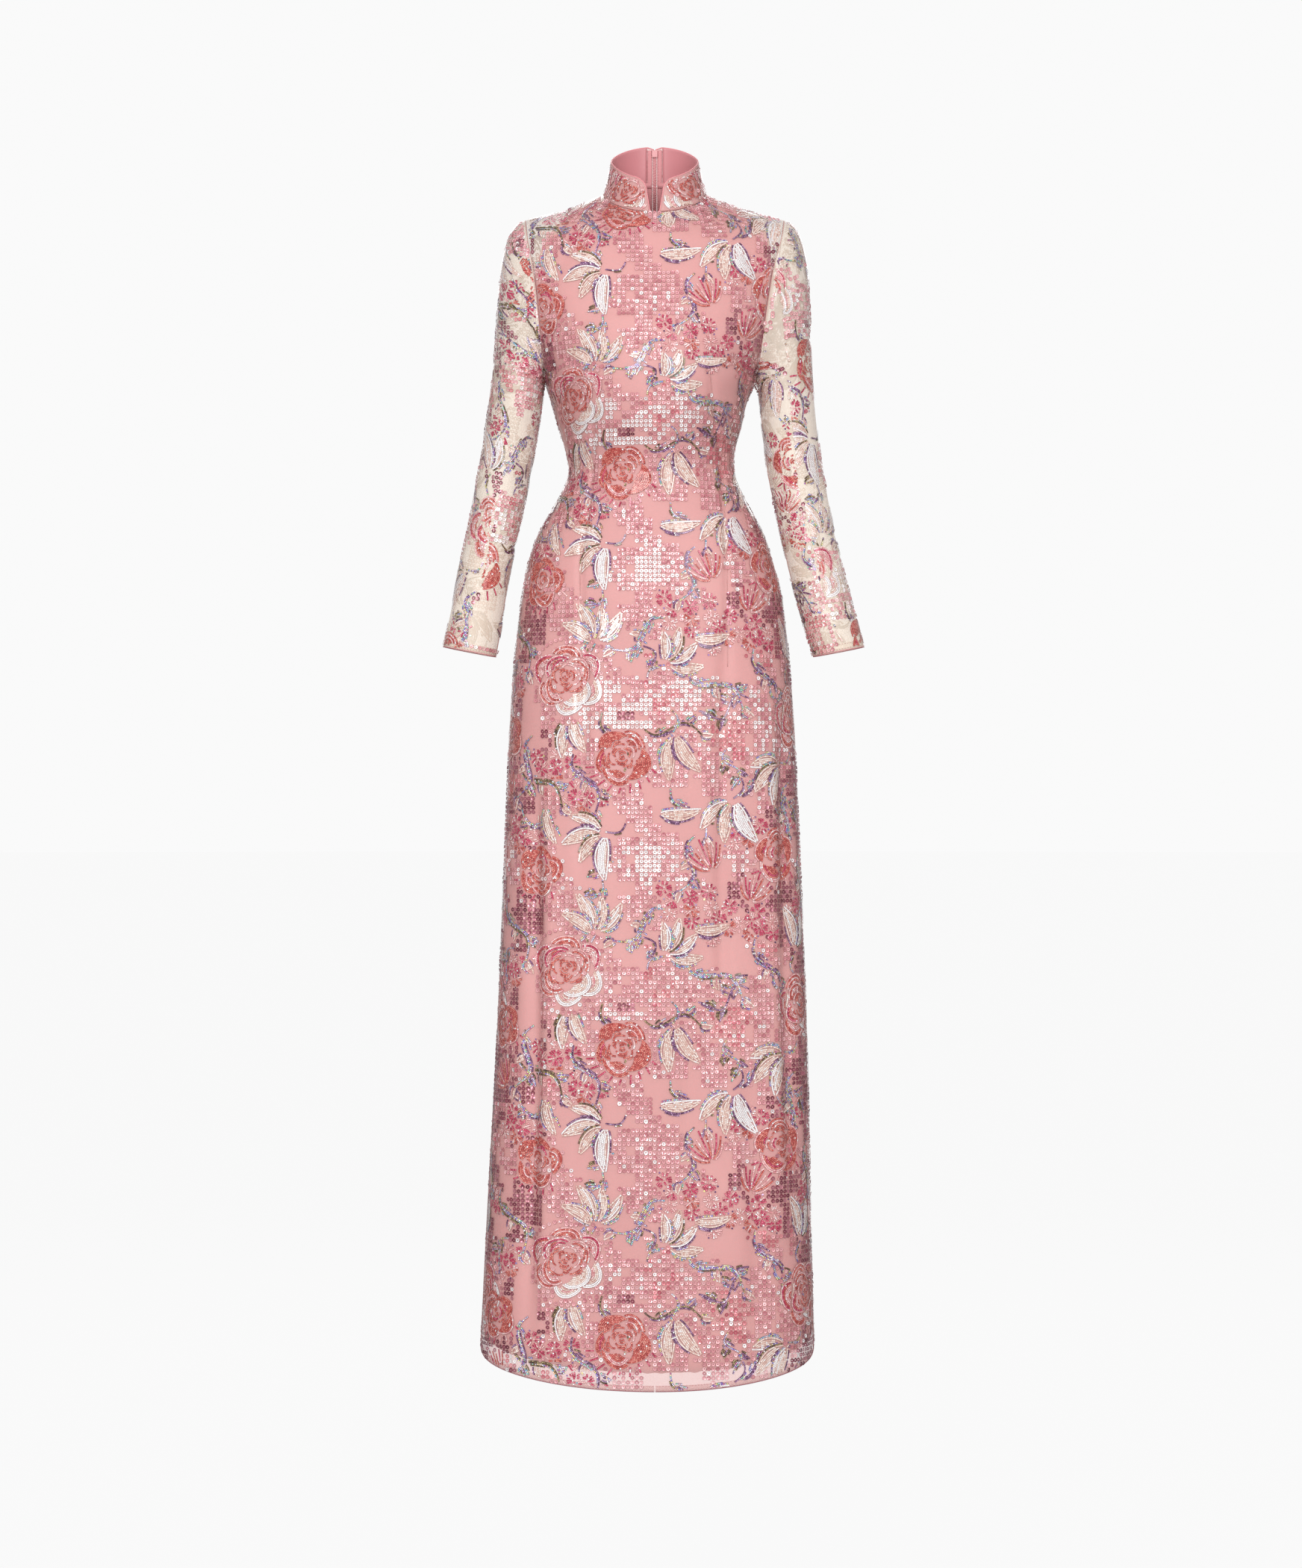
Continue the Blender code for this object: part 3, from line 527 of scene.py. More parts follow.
def collar_surface(side):
    """The outside of the stand collar: rows from its top edge down to the neckline,
    columns from the centre back round to the centre front."""
    angle = np.linspace(0.0, math.pi, 400)
    heights = np.linspace(1.0, 0.0, 60)
    rows = []
    for h in heights:
        half = NECK_HALF + (COLLAR_TOP_HALF - NECK_HALF) * h
        half -= COLLAR_WAIST * math.sin(math.pi * h)
        front, beside, behind = (
            [a + (b - a) * h for a, b in zip(*ends)]
            for ends in ((NECK_FRONT, COLLAR_TOP_FRONT), (NECK_SIDE, COLLAR_TOP_SIDE),
                         (NECK_BACK, COLLAR_TOP_BACK)))
        turn = np.cos(angle)
        to_back = turn > 0.0
        y = beside[0] + np.abs(turn) * np.where(to_back, behind[0] - beside[0],
                                                front[0] - beside[0])
        z = beside[1] + np.abs(turn) ** NECK_SWEEP * np.where(
            to_back, behind[1] - beside[1], front[1] - beside[1])
        rows.append(evenly(np.stack([half * np.sin(angle), y, z], axis=1), 2 * FINE))
    points = np.array(rows)
    if side == "right":
        points = points * np.array([-1.0, 1.0, 1.0])
    return surface_of(points, 1.0 - heights, -1.0 if side == "left" else 1.0, side=side)


def collar_front_edge(h):
    """Distance of the front edge from the centre front line at this height."""
    tall = COLLAR_TOP_FRONT[1] - NECK_FRONT[1]
    corner = max(0.0, (h * tall - (tall - COLLAR_CORNER)) / COLLAR_CORNER)
    rounding = COLLAR_CORNER * (1.0 - math.sqrt(max(0.0, 1.0 - corner * corner)))
    return COLLAR_NOTCH + COLLAR_LEAN * h + rounding


COLLAR_TALL = COLLAR_TOP_BACK[1] - NECK_BACK[1]


def collar_place(collar, down, share, first):
    """Station and share on the collar for a place on its cut band."""
    down = min(down, 1.0 - COLLAR_UP / COLLAR_TALL)
    length = float(row_length(collar, down))
    across = first + (length - collar_front_edge(1.0 - down) - first) * share
    dip = ZIP_V / COLLAR_TALL * np.clip(1.0 - (across - ZIP_HALF_GAP) / ZIP_V_WIDE, 0.0, 1.0)
    return down + dip * (1.0 - down), across / length


# ---------------------------------------------------------------- meshes

def mesh_object(name, points, faces, materials, slots=None, smooth_faces=True):
    """A mesh from arrays; faces is a list of equal-sided blocks of corner numbers."""
    mesh = bpy.data.meshes.new(name)
    totals = np.concatenate([np.full(len(block), block.shape[1]) for block in faces])
    corners = np.concatenate([block.reshape(-1) for block in faces])
    starts = np.concatenate(([0], np.cumsum(totals)[:-1]))
    mesh.vertices.add(len(points))
    mesh.vertices.foreach_set("co", np.asarray(points, np.float32).reshape(-1))
    mesh.loops.add(len(corners))
    mesh.loops.foreach_set("vertex_index", corners.astype(np.int32))
    mesh.polygons.add(len(totals))
    mesh.polygons.foreach_set("loop_start", starts.astype(np.int32))
    mesh.polygons.foreach_set("loop_total", totals.astype(np.int32))
    if slots is not None:
        mesh.polygons.foreach_set("material_index", np.asarray(slots, np.int32))
    mesh.update(calc_edges=True)
    mesh.validate()
    for material in materials:
        mesh.materials.append(material)
    if smooth_faces:
        mesh.shade_smooth()
    thing = bpy.data.objects.new(name, mesh)
    bpy.context.scene.collection.objects.link(thing)
    return thing


def mark(thing, label, values):
    """Gives every point of a mesh a number that its material reads."""
    marks = thing.data.attributes.new(label, "FLOAT", "POINT")
    marks.data.foreach_set("value", np.asarray(values, np.float32))


def grid_cells(rows, columns):
    """Corner numbers of every cell of a grid of points."""
    r, c = np.meshgrid(np.arange(rows - 1), np.arange(columns - 1), indexing="ij")
    first = (r * columns + c).reshape(-1)
    return np.stack([first, first + columns, first + columns + 1, first + 1], axis=1)


def shell(name, outer, normals, wall, material, closed=False):
    """A grid of points as a thin closed wall: the outside, the inside and the edges."""
    rows, columns = outer.shape[:2]
    inner = outer - wall * normals
    count = rows * columns
    cells = grid_cells(rows, columns)
    across = np.cross(outer[rows // 2 + 1, columns // 2] - outer[rows // 2, columns // 2],
                      outer[rows // 2, columns // 2 + 1] - outer[rows // 2, columns // 2])
    turned = float(across @ normals[rows // 2, columns // 2]) < 0.0
    points = np.concatenate([outer.reshape(-1, 3), inner.reshape(-1, 3)])
    index = np.arange(count).reshape(rows, columns)
    if closed:
        ends = []
        for row, flip in ((index[0], False), (index[-1], True)):
            a, b = row[:-1], row[1:]
            cell = np.stack([a, b, b + count, a + count], axis=1)
            ends.append(cell[:, ::-1] if flip else cell)
        edge = np.concatenate(ends)
    else:
        ring = np.concatenate([index[0, :-1], index[:-1, -1], index[-1, :0:-1],
                               index[:0:-1, 0]])
        following = np.roll(ring, -1)
        edge = np.stack([ring, following, following + count, ring + count], axis=1)
    faces = np.concatenate([cells, cells[:, ::-1] + count, edge])
    if turned:
        faces = faces[:, ::-1]
    thing = mesh_object(name, points, [faces], [material])
    if closed:
        weld(thing)
    return thing


def weld(thing):
    """Joins the first and the last column of a tube."""
    modifier = thing.modifiers.new("join", "WELD")
    modifier.merge_threshold = 0.00001
    bpy.context.view_layer.update()
    applied = bpy.data.meshes.new_from_object(
        thing.evaluated_get(bpy.context.evaluated_depsgraph_get()))
    thing.modifiers.clear()
    thing.data = applied


def ribbon(name, centres, normals, across, half, thick, material):
    """A flat strip along a line, half wide on each side and thick upwards."""
    side = across * half
    corners = np.stack([centres - side, centres - side + normals * thick,
                        centres + side + normals * thick, centres + side], axis=1)
    return tube_of(name, corners, material)


def cord_along(name, centres, radius, material):
    """A round cord along a line of points."""
    along = unit(np.gradient(centres, axis=0))
    seed = np.array([0.0, 0.0, 1.0]) if abs(along[0, 2]) < 0.9 else np.array([0.0, 1.0, 0.0])
    first = unit(np.cross(along, seed))
    second = np.cross(along, first)
    angle = np.linspace(0.0, TURN, 6, endpoint=False)
    rings = (centres[:, None] + radius * np.cos(angle)[None, :, None] * first[:, None]
             + radius * np.sin(angle)[None, :, None] * second[:, None])
    return tube_of(name, rings, material)


def tube_of(name, rings, material):
    """A closed tube through rings of corners."""
    rows, sides = rings.shape[:2]
    r, c = np.meshgrid(np.arange(rows - 1), np.arange(sides), indexing="ij")
    n = (c + 1) % sides
    quads = np.stack([r * sides + c, r * sides + n, (r + 1) * sides + n,
                      (r + 1) * sides + c], axis=-1).reshape(-1, 4)
    caps = np.stack([np.arange(sides)[::-1], (rows - 1) * sides + np.arange(sides)])
    middle = rings.mean(axis=1)
    outward = rings[0, 0] - middle[0]
    normal = np.cross(rings[0, 1] - rings[0, 0], rings[1, 0] - rings[0, 0])
    if float(normal @ outward) < 0.0:
        quads, caps = quads[:, ::-1], caps[:, ::-1]
    return mesh_object(name, rings.reshape(-1, 3), [quads, caps], [material])


# ---------------------------------------------------------------- materials

def new_group(name, inputs, outputs):
    """An empty node group with named inputs and outputs."""
    group = bpy.data.node_groups.new(name, "ShaderNodeTree")
    for label, kind, value in inputs:
        socket = group.interface.new_socket(label, in_out="INPUT", socket_type=kind)
        socket.default_value = value
    for label, kind in outputs:
        group.interface.new_socket(label, in_out="OUTPUT", socket_type=kind)
    return group, group.nodes.new("NodeGroupInput"), group.nodes.new("NodeGroupOutput")


def feed(tree, socket, value):
    """Sets a socket to a constant or joins it to another node's output."""
    if isinstance(value, (int, float, tuple)):
        socket.default_value = value
    else:
        tree.links.new(value, socket)


def maths(tree, operation, a, b=None):
    node = tree.nodes.new("ShaderNodeMath")
    node.operation = operation
    feed(tree, node.inputs[0], a)
    if b is not None:
        feed(tree, node.inputs[1], b)
    return node.outputs[0]


def worked(tree, value, *steps):
    """A value taken through one step of arithmetic after another."""
    for operation, other in steps:
        value = maths(tree, operation, value, other)
    return value


def mixed_colour(tree, share, first, second):
    node = tree.nodes.new("ShaderNodeMix")
    node.data_type = "RGBA"
    for socket, value in zip((node.inputs[0], node.inputs[6], node.inputs[7]),
                             (share, first, second)):
        feed(tree, socket, value)
    return node.outputs[2]


def noise(tree, place, scale, detail):
    node = tree.nodes.new("ShaderNodeTexNoise")
    node.inputs["Scale"].default_value = scale
    node.inputs["Detail"].default_value = detail
    tree.links.new(place, node.inputs["Vector"])
    return node.outputs[0]


def attribute(tree, name):
    node = tree.nodes.new("ShaderNodeAttribute")
    node.attribute_name = name
    return node.outputs["Fac"]


def per_piece(tree):
    """A number of its own for each loose piece of a mesh."""
    return tree.nodes.new("ShaderNodeNewGeometry").outputs["Random Per Island"]


def bumped(tree, shader, height, strength, distance):
    node = tree.nodes.new("ShaderNodeBump")
    node.inputs["Strength"].default_value = strength
    node.inputs["Distance"].default_value = distance
    tree.links.new(height, node.inputs["Height"])
    tree.links.new(node.outputs[0], shader.inputs["Normal"])


def new_material(name, **values):
    """A material, its nodes and its shader, with constants on the shader's sockets."""
    material = bpy.data.materials.new(name)
    material.use_nodes = True
    shader = material.node_tree.nodes["Principled BSDF"]
    for label, value in values.items():
        shader.inputs[label.replace("_", " ")].default_value = value
    return material, material.node_tree, shader


def woven_group():
    """A fine plain weave with slubs: a mask of thread and gap, and its height."""
    group, into, out = new_group(
        "woven_cloth",
        [("Threads", "NodeSocketFloat", 5200.0), ("Slub", "NodeSocketFloat", 0.4)],
        [("Thread", "NodeSocketFloat"), ("Cloud", "NodeSocketFloat"),
         ("Height", "NodeSocketFloat")])
    place = group.nodes.new("ShaderNodeTexCoord").outputs["Object"]
    axes = group.nodes.new("ShaderNodeSeparateXYZ")
    group.links.new(place, axes.inputs[0])
    warp, weft = (maths(group, "SINE", maths(group, "MULTIPLY", axes.outputs[axis],
                                             into.outputs["Threads"])) for axis in "XZ")
    thread = worked(group, warp, ("MULTIPLY", weft), ("ADD", 1.0), ("MULTIPLY", 0.5))
    slub = maths(group, "MULTIPLY", noise(group, place, 260.0, 3.0), into.outputs["Slub"])
    for label, value in (("Thread", thread), ("Cloud", noise(group, place, 9.0, 4.0)),
                         ("Height", maths(group, "ADD", thread, slub))):
        group.links.new(value, out.inputs[label])
    return group


def glint_group():
    """Gives each small piece its own shade of three, and a few of them a painted glint: near
    white in place of their own colour.
    """
    group, into, out = new_group(
        "piece_shades_and_painted_glints",
        [("Chance", "NodeSocketFloat", 0.5), ("Deep", "NodeSocketColor", (0, 0, 0, 1)),
         ("Main", "NodeSocketColor", (0, 0, 0, 1)),
         ("Light", "NodeSocketColor", (0, 0, 0, 1)),
         ("Glints", "NodeSocketFloat", 0.05)],
        [("Color", "NodeSocketColor"), ("Rough", "NodeSocketFloat")])
    chance = into.outputs["Chance"]
    low = maths(group, "MULTIPLY", chance, 2.0)
    colour = into.outputs["Deep"]
    for share, label in ((low, "Main"), (maths(group, "SUBTRACT", low, 1.0), "Light")):
        clamp = group.nodes.new("ShaderNodeClamp")
        group.links.new(share, clamp.inputs[0])
        colour = mixed_colour(group, clamp.outputs[0], colour, into.outputs[label])
    shuffled = worked(group, chance, ("MULTIPLY", 91.7), ("FRACT", None))
    glint = maths(group, "LESS_THAN", shuffled, into.outputs["Glints"])
    # painted glint: the chosen pieces take a near-white colour
    group.links.new(mixed_colour(group, glint, colour, (0.96, 0.93, 0.94, 1.0)),
                    out.inputs["Color"])
    group.links.new(worked(group, shuffled, ("MULTIPLY", 0.2), ("ADD", 0.16)),
                    out.inputs["Rough"])
    return group


def shaded(tree, chance, deep, main, light, glints):
    """The shade of one piece, by its own chance: its colour, a few with a painted glint, and
    its roughness.
    """
    shades = tree.nodes.new("ShaderNodeGroup")
    shades.node_tree = GLINTS
    tree.links.new(chance, shades.inputs["Chance"])
    for label, colour in (("Deep", deep), ("Main", main), ("Light", light)):
        shades.inputs[label].default_value = (*colour, 1.0)
    shades.inputs["Glints"].default_value = glints
    return shades.outputs["Color"], shades.outputs["Rough"]


def sunk_into_painted_shade(tree, shader, share, colour, deep, part):
    """Painted shade: the colour, sunk towards a dark shade of its deepest where share is
    high.
    """
    low = tuple(part * value for value in deep) + (1.0,)
    tree.links.new(mixed_colour(tree, share, colour, low), shader.inputs["Base Color"])


def cloth_material(name, dark, light, roughness, alpha=1.0, sheen=0.0, bump=0.12,
                   threads=5200.0, unlined=None):
    """A woven cloth between two shades; unlined is its colour and alpha on the yoke."""
    material, tree, shader = new_material(
        name, Roughness=roughness, Alpha=alpha, Sheen_Weight=sheen, Sheen_Roughness=0.4,
        Sheen_Tint=(1.0, 0.86, 0.84, 1.0))
    weave = tree.nodes.new("ShaderNodeGroup")
    weave.node_tree = WOVEN
    weave.inputs["Threads"].default_value = threads
    share = maths(tree, "ADD", maths(tree, "MULTIPLY", weave.outputs["Cloud"], 0.8),
                  maths(tree, "MULTIPLY", weave.outputs["Thread"], 0.10))
    shade = mixed_colour(tree, share, (*dark, 1.0), (*light, 1.0))
    if unlined:
        yoke = attribute(tree, "yoke")
        shade = mixed_colour(tree, yoke, shade, (*unlined[0], 1.0))
        cleared = maths(tree, "MULTIPLY", yoke, alpha - unlined[1])
        tree.links.new(maths(tree, "SUBTRACT", alpha, cleared), shader.inputs["Alpha"])
    tree.links.new(shade, shader.inputs["Base Color"])
    bumped(tree, shader, weave.outputs["Height"], bump, 0.0004)
    return material


def sequin_material(name, deep, main, light, glints, metallic, coat):
    """Small shiny pieces, each in its own shade, with a painted shade darkening each ring
    round its rim.
    """
    material, tree, shader = new_material(name, Metallic=metallic, Coat_Weight=coat,
                                          Coat_Roughness=0.12)
    colour, rough = shaded(tree, per_piece(tree), deep, main, light, glints)
    # painted shade: each ring darkens towards its rim, as if shadowed by its neighbours
    painted_rim_shade = worked(tree, attribute(tree, "painted_rim_shade"), ("POWER", 7.0), ("MULTIPLY", 0.7))
    sunk_into_painted_shade(tree, shader, painted_rim_shade, colour, deep, 0.34)
    tree.links.new(rough, shader.inputs["Roughness"])
    return material


def strung_material(name, deep, main, light, glints, metallic, coat, hues=None):
    """A stitched row of beads: every bead along it has its own shade and its own shine, with
    painted shade between the beads and along both sides of the row.
    """
    material, tree, shader = new_material(name, Metallic=metallic, Coat_Weight=coat)
    count = maths(tree, "DIVIDE", attribute(tree, "along"), STRUNG_PITCH)
    row = maths(tree, "MULTIPLY", per_piece(tree), 517.0)
    bead = tree.nodes.new("ShaderNodeTexWhiteNoise")
    bead.noise_dimensions = "1D"
    tree.links.new(maths(tree, "ADD", maths(tree, "FLOOR", count), row), bead.inputs["W"])
    chance = bead.outputs["Value"]
    colour, rough = shaded(tree, chance, deep, main, light, glints)
    if hues:
        hue = hue_ramp(tree, worked(tree, chance, ("MULTIPLY", 37.0), ("FRACT", None)), hues)
        colour = mixed_colour(tree, maths(tree, "LESS_THAN", chance, 0.72), colour, hue)
    middle = worked(tree, count, ("FRACT", None), ("MULTIPLY", 2.0), ("SUBTRACT", 1.0))
    side = attribute(tree, "side")
    across, along = (maths(tree, "MULTIPLY", value, value) for value in (side, middle))
    # painted shade: darker between the beads and towards both edges of the row
    edge = worked(tree, across, ("MAXIMUM", along), ("POWER", 2.2), ("MULTIPLY", 0.75))
    sunk_into_painted_shade(tree, shader, edge, colour, deep, 0.55)
    bumped(tree, shader, maths(tree, "MULTIPLY", maths(tree, "SUBTRACT", 1.0, across),
                               maths(tree, "SUBTRACT", 1.0, along)), 0.8, 0.0005)
    tree.links.new(rough, shader.inputs["Roughness"])
    return material


def hue_ramp(tree, share, hues):
    """A share turned into one of a row of hues."""
    ramp = tree.nodes.new("ShaderNodeValToRGB")
    ramp.color_ramp.interpolation = "CONSTANT"
    stops = ramp.color_ramp.elements
    for i, hue in enumerate(hues):
        stop = stops[i] if i < 2 else stops.new(i / len(hues))
        stop.position = i / len(hues)
        stop.color = (*hue, 1.0)
    tree.links.new(share, ramp.inputs[0])
    return ramp.outputs[0]


def many_hues_material(name, hues, metallic):
    """Iridescent pieces: each takes one of a row of hues."""
    material, tree, shader = new_material(name, Metallic=metallic, Roughness=0.24,
                                          Coat_Weight=0.5)
    tree.links.new(hue_ramp(tree, per_piece(tree), hues), shader.inputs["Base Color"])
    return material


WOVEN = woven_group()
GLINTS = glint_group()
NET_CLOTH = cloth_material("net", (0.97, 0.82, 0.68), (1.00, 0.92, 0.80), 0.40,
                           alpha=0.34, sheen=0.3)
BODY_NET = cloth_material("body_net", (0.80, 0.46, 0.44), (0.92, 0.59, 0.56), 0.6,
                          alpha=0.40, sheen=0.2, unlined=((0.95, 0.80, 0.69), 0.26))
LINING_CLOTH = cloth_material("lining", (0.70, 0.23, 0.26), (0.84, 0.33, 0.35), 0.5,
                              sheen=0.25)
EDGE_CLOTH = cloth_material("edge_binding", (0.52, 0.25, 0.24), (0.62, 0.33, 0.31), 0.7)
FACING_CLOTH = cloth_material("collar_facing", (0.54, 0.20, 0.22), (0.68, 0.29, 0.31),
                              0.35, sheen=0.3)
# Dark cloth of the turned edges at the hems and slits: a real edge, its dark colour partly a
# painted shadow line along it.
HEM_AND_SHADOW_CLOTH = cloth_material("hem_binding_and_painted_shadow", (0.30, 0.12, 0.14), (0.42, 0.19, 0.21), 0.7)
TAPE_CLOTH = cloth_material("zip_tape", (0.62, 0.25, 0.27), (0.72, 0.33, 0.34), 0.7,
                            threads=6400.0)
THREAD = cloth_material("thread", (0.64, 0.29, 0.30), (0.76, 0.38, 0.38), 0.75)
COIL_NYLON = cloth_material("zip_coil", (0.66, 0.28, 0.30), (0.74, 0.36, 0.37), 0.42,
                            threads=7000.0)
ZIP_PAINT = cloth_material("zip_metal", (0.74, 0.36, 0.37), (0.80, 0.42, 0.43), 0.3,
                           bump=0.05, threads=200.0)

HUES = ((0.26, 0.15, 0.48), (0.36, 0.33, 0.72), (0.24, 0.48, 0.62), (0.34, 0.62, 0.48),
        (0.74, 0.66, 0.26), (0.66, 0.42, 0.22), (0.78, 0.66, 0.74), (0.34, 0.20, 0.36),
        (0.56, 0.16, 0.34), (0.80, 0.72, 0.44), (0.26, 0.17, 0.14), (0.70, 0.40, 0.46))
# Each kind's deep, main and light shade, its share of painted glints, its metal and its coat.
# The white kind is painted glare: pieces coloured white where sequins would mirror the lamps.
RING_SHADES = {
    "pale": ((0.54, 0.17, 0.21), (0.77, 0.35, 0.38), (0.88, 0.53, 0.55), 0.04, 0.1, 0.3),
    "white": ((0.84, 0.66, 0.66), (0.92, 0.86, 0.87), (0.97, 0.96, 0.97), 0.2, 0.1, 0.8),
    "plum": ((0.16, 0.022, 0.05), (0.30, 0.05, 0.095), (0.55, 0.20, 0.26), 0.03, 0.4, 0.6),
    "rosy": ((0.55, 0.09, 0.14), (0.78, 0.25, 0.28), (0.88, 0.50, 0.50), 0.06, 0.2, 0.6),
}
ROW_SHADES = {
    "coral": ((0.40, 0.045, 0.04), (0.66, 0.12, 0.10), (0.82, 0.32, 0.26), 0.02, 0.1, 0.4),
    "magenta": ((0.38, 0.012, 0.06), (0.62, 0.04, 0.12), (0.80, 0.20, 0.28), 0.04, 0.1,
                0.6),
    "pink": ((0.70, 0.25, 0.27), (0.87, 0.47, 0.47), (0.95, 0.70, 0.68), 0.06, 0.1, 0.6),
    "ivory": ((0.68, 0.40, 0.34), (0.88, 0.66, 0.58), (0.95, 0.84, 0.78), 0.03, 0.0, 0.6),
    "white": ((0.84, 0.70, 0.70), (0.94, 0.90, 0.91), (0.98, 0.97, 0.98), 0.2, 0.1, 0.8),
    "hues": ((0.10, 0.05, 0.14), (0.30, 0.18, 0.36), (0.66, 0.62, 0.74), 0.08, 0.45, 0.6,
             HUES),
    "purple": ((0.10, 0.03, 0.09), (0.27, 0.11, 0.24), (0.52, 0.32, 0.50), 0.08, 0.4, 0.6),
    "olive": ((0.07, 0.04, 0.03), (0.22, 0.13, 0.07), (0.46, 0.36, 0.18), 0.05, 0.4, 0.5),
}
BEAD_SHADES = {
    "coral": ((0.36, 0.025, 0.025), (0.64, 0.10, 0.08), (0.82, 0.34, 0.27), 0.03, 0.2, 0.5),
    "magenta": ((0.42, 0.02, 0.07), (0.66, 0.06, 0.13), (0.80, 0.24, 0.30), 0.04, 0.2, 0.6),
    "pink": ((0.60, 0.17, 0.20), (0.80, 0.38, 0.39), (0.90, 0.64, 0.62), 0.05, 0.1, 0.6),
    "ivory": ((0.58, 0.33, 0.29), (0.84, 0.64, 0.57), (0.92, 0.82, 0.77), 0.03, 0.1, 0.5),
    "white": ((0.86, 0.76, 0.76), (0.94, 0.90, 0.91), (0.98, 0.97, 0.98), 0.2, 0.1, 0.8),
    "olive": ((0.06, 0.035, 0.02), (0.18, 0.11, 0.05), (0.46, 0.38, 0.16), 0.03, 0.5, 0.5),
    "purple": ((0.055, 0.02, 0.07), (0.16, 0.06, 0.19), (0.36, 0.20, 0.46), 0.04, 0.4, 0.6),
}
STRUNG_PITCH = 0.0021   # between the beads of a stitched row
RING_KINDS = {kind: sequin_material(f"ring_{kind}", *shades)
              for kind, shades in RING_SHADES.items()}
STRUNG_KINDS = {kind: strung_material(f"row_{kind}", *shades)
                for kind, shades in ROW_SHADES.items()}
BEAD_KINDS = {kind: sequin_material(f"bead_{kind}", *shades)
              for kind, shades in BEAD_SHADES.items()}
BEAD_KINDS["hues"] = many_hues_material("bead_hues", HUES, 0.55)


# ---------------------------------------------------------------- cloth pieces

def ride(thing, slot, *nodes):
    """A piece of the tunic, in place of these parts of the frame; the slot is not used."""
    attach(thing, "tunic")
    if nodes:
        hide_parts(*nodes)
    return thing


def hem_stations(body, bottom, shares, up=0.0):
    """Where a hem lies on the cloth, at these shares of its width."""
    return station_at(body, bottom) - up - NET_HEM_RISE * shares ** 2


YOKE_EDGE = 0.004       # over which the net turns clear above the lining


def lining_share(body, stations):
    """The halter cut: the lining leaves the shoulders and sleeve heads bare."""
    meets = station_at(body, LINING_MEETS_ARMHOLE, 1.0)
    short = np.where(stations < body["under"] - 1e-6, LINING_IN[0], LINING_IN[1])
    whole = 1.0 - short / row_length(body, stations)
    top = LINING_TOP[body["side"]]
    slanted = top + (whole - top) * np.clip(stations / meets, 0.0, 1.0)
    return np.where(stations >= meets, whole, slanted)


def layer(body, depth, bottom, rows, columns, first=0.0, halter=False):
    """Points and normals of a layer of one half, from the centre line to the side."""
    stations = np.linspace(0.0006 + 0.5 * depth, station_at(body, bottom), rows)[:, None]
    shares = np.linspace(0.0, 1.0, columns)[None, :]
    below = smooth((stations - station_at(body, ZIP_BOTTOM)) / 0.012)
    start = (first + (0.5 * SEAM_GAP - first) * below * (first > 0.0))
    start = start / row_length(body, stations)
    shares = start + (1.0 - start) * shares
    if halter:
        beyond = np.clip(2.0 * shares - 1.0, 0.0, 1.0)
        shares = shares - beyond * (1.0 - lining_share(body, stations))
    low = station_at(body, LAST_LEVEL_ROW)
    bend = np.clip((stations - low) / (stations[-1] - low), 0.0, 1.0)
    return beneath(body, stations - NET_HEM_RISE * bend * shares ** 2, shares, depth)


def mark_yoke(thing, bodies, front):
    """Marks the net outside the halter line, which has no lining under it."""
    x, _, z = np.array([vertex.co for vertex in thing.data.vertices]).T
    yoke = np.zeros(len(x))
    for side in SIDES:
        body = bodies[side, front]
        meets = station_at(body, LINING_MEETS_ARMHOLE, 1.0)
        stations = np.array([[0.001], [meets]])
        neck, armhole = sampled(body, stations, lining_share(body, stations))[0][:, 0]
        line = np.interp(np.abs(x), np.abs([neck[0], armhole[0]]), [neck[2], armhole[2]])
        above = smooth((z - line) / YOKE_EDGE) * (np.abs(x) > abs(neck[0]))
        yoke = np.where(np.sign(x) == np.sign(armhole[0]), above, yoke)
    mark(thing, "yoke", yoke)


def both_halves(right, left):
    """One layer across the front, from the wearer's right to the wearer's left."""
    return tuple(np.concatenate([r[:, :0:-1], l], axis=1) for r, l in zip(right, left))


def body_cloth(bodies):
    """The net and the lining: one front each, and two backs."""
    made = {}
    columns = NET_COLUMNS["body"]
    for key, piece, slot, nodes, depth, bottom, rows, first, wall, cloth in (
            ("", "panel_net", "net", ("front_panel", "back_panel"), NET_IN, NET_HEM_CENTRE,
             NET_ROWS["body"], ZIP_HALF_GAP, NET, BODY_NET),
            ("lining_", "lining", "lining", ("lining_front", "lining_back"), LINING_DEPTH,
             NET_HEM_CENTRE + LINING_HEM_UP, NET_ROWS["body"] // 2, LINING_FROM_ZIP,
             LINING, LINING_CLOTH)):
        halter = slot == "lining"
        halves = [layer(bodies[side, True], depth, bottom, rows, columns, halter=halter)
                  for side in ("right", "left")]
        sheets = {"front": (f"front_{piece}", nodes[0], both_halves(*halves))}
        for side in SIDES:
            sheets[side if halter else f"back_{side}"] = (
                f"back_{piece}_{side}", f"{nodes[1]}_{side}",
                layer(bodies[side, False], depth, bottom, rows, columns, first, halter))
        for where, (name, node, grid) in sheets.items():
            sheet = shell(name, *grid, wall, cloth)
            if not halter:
                mark_yoke(sheet, bodies, where == "front")
            made[key + where] = ride(sheet, slot, node)
    return made


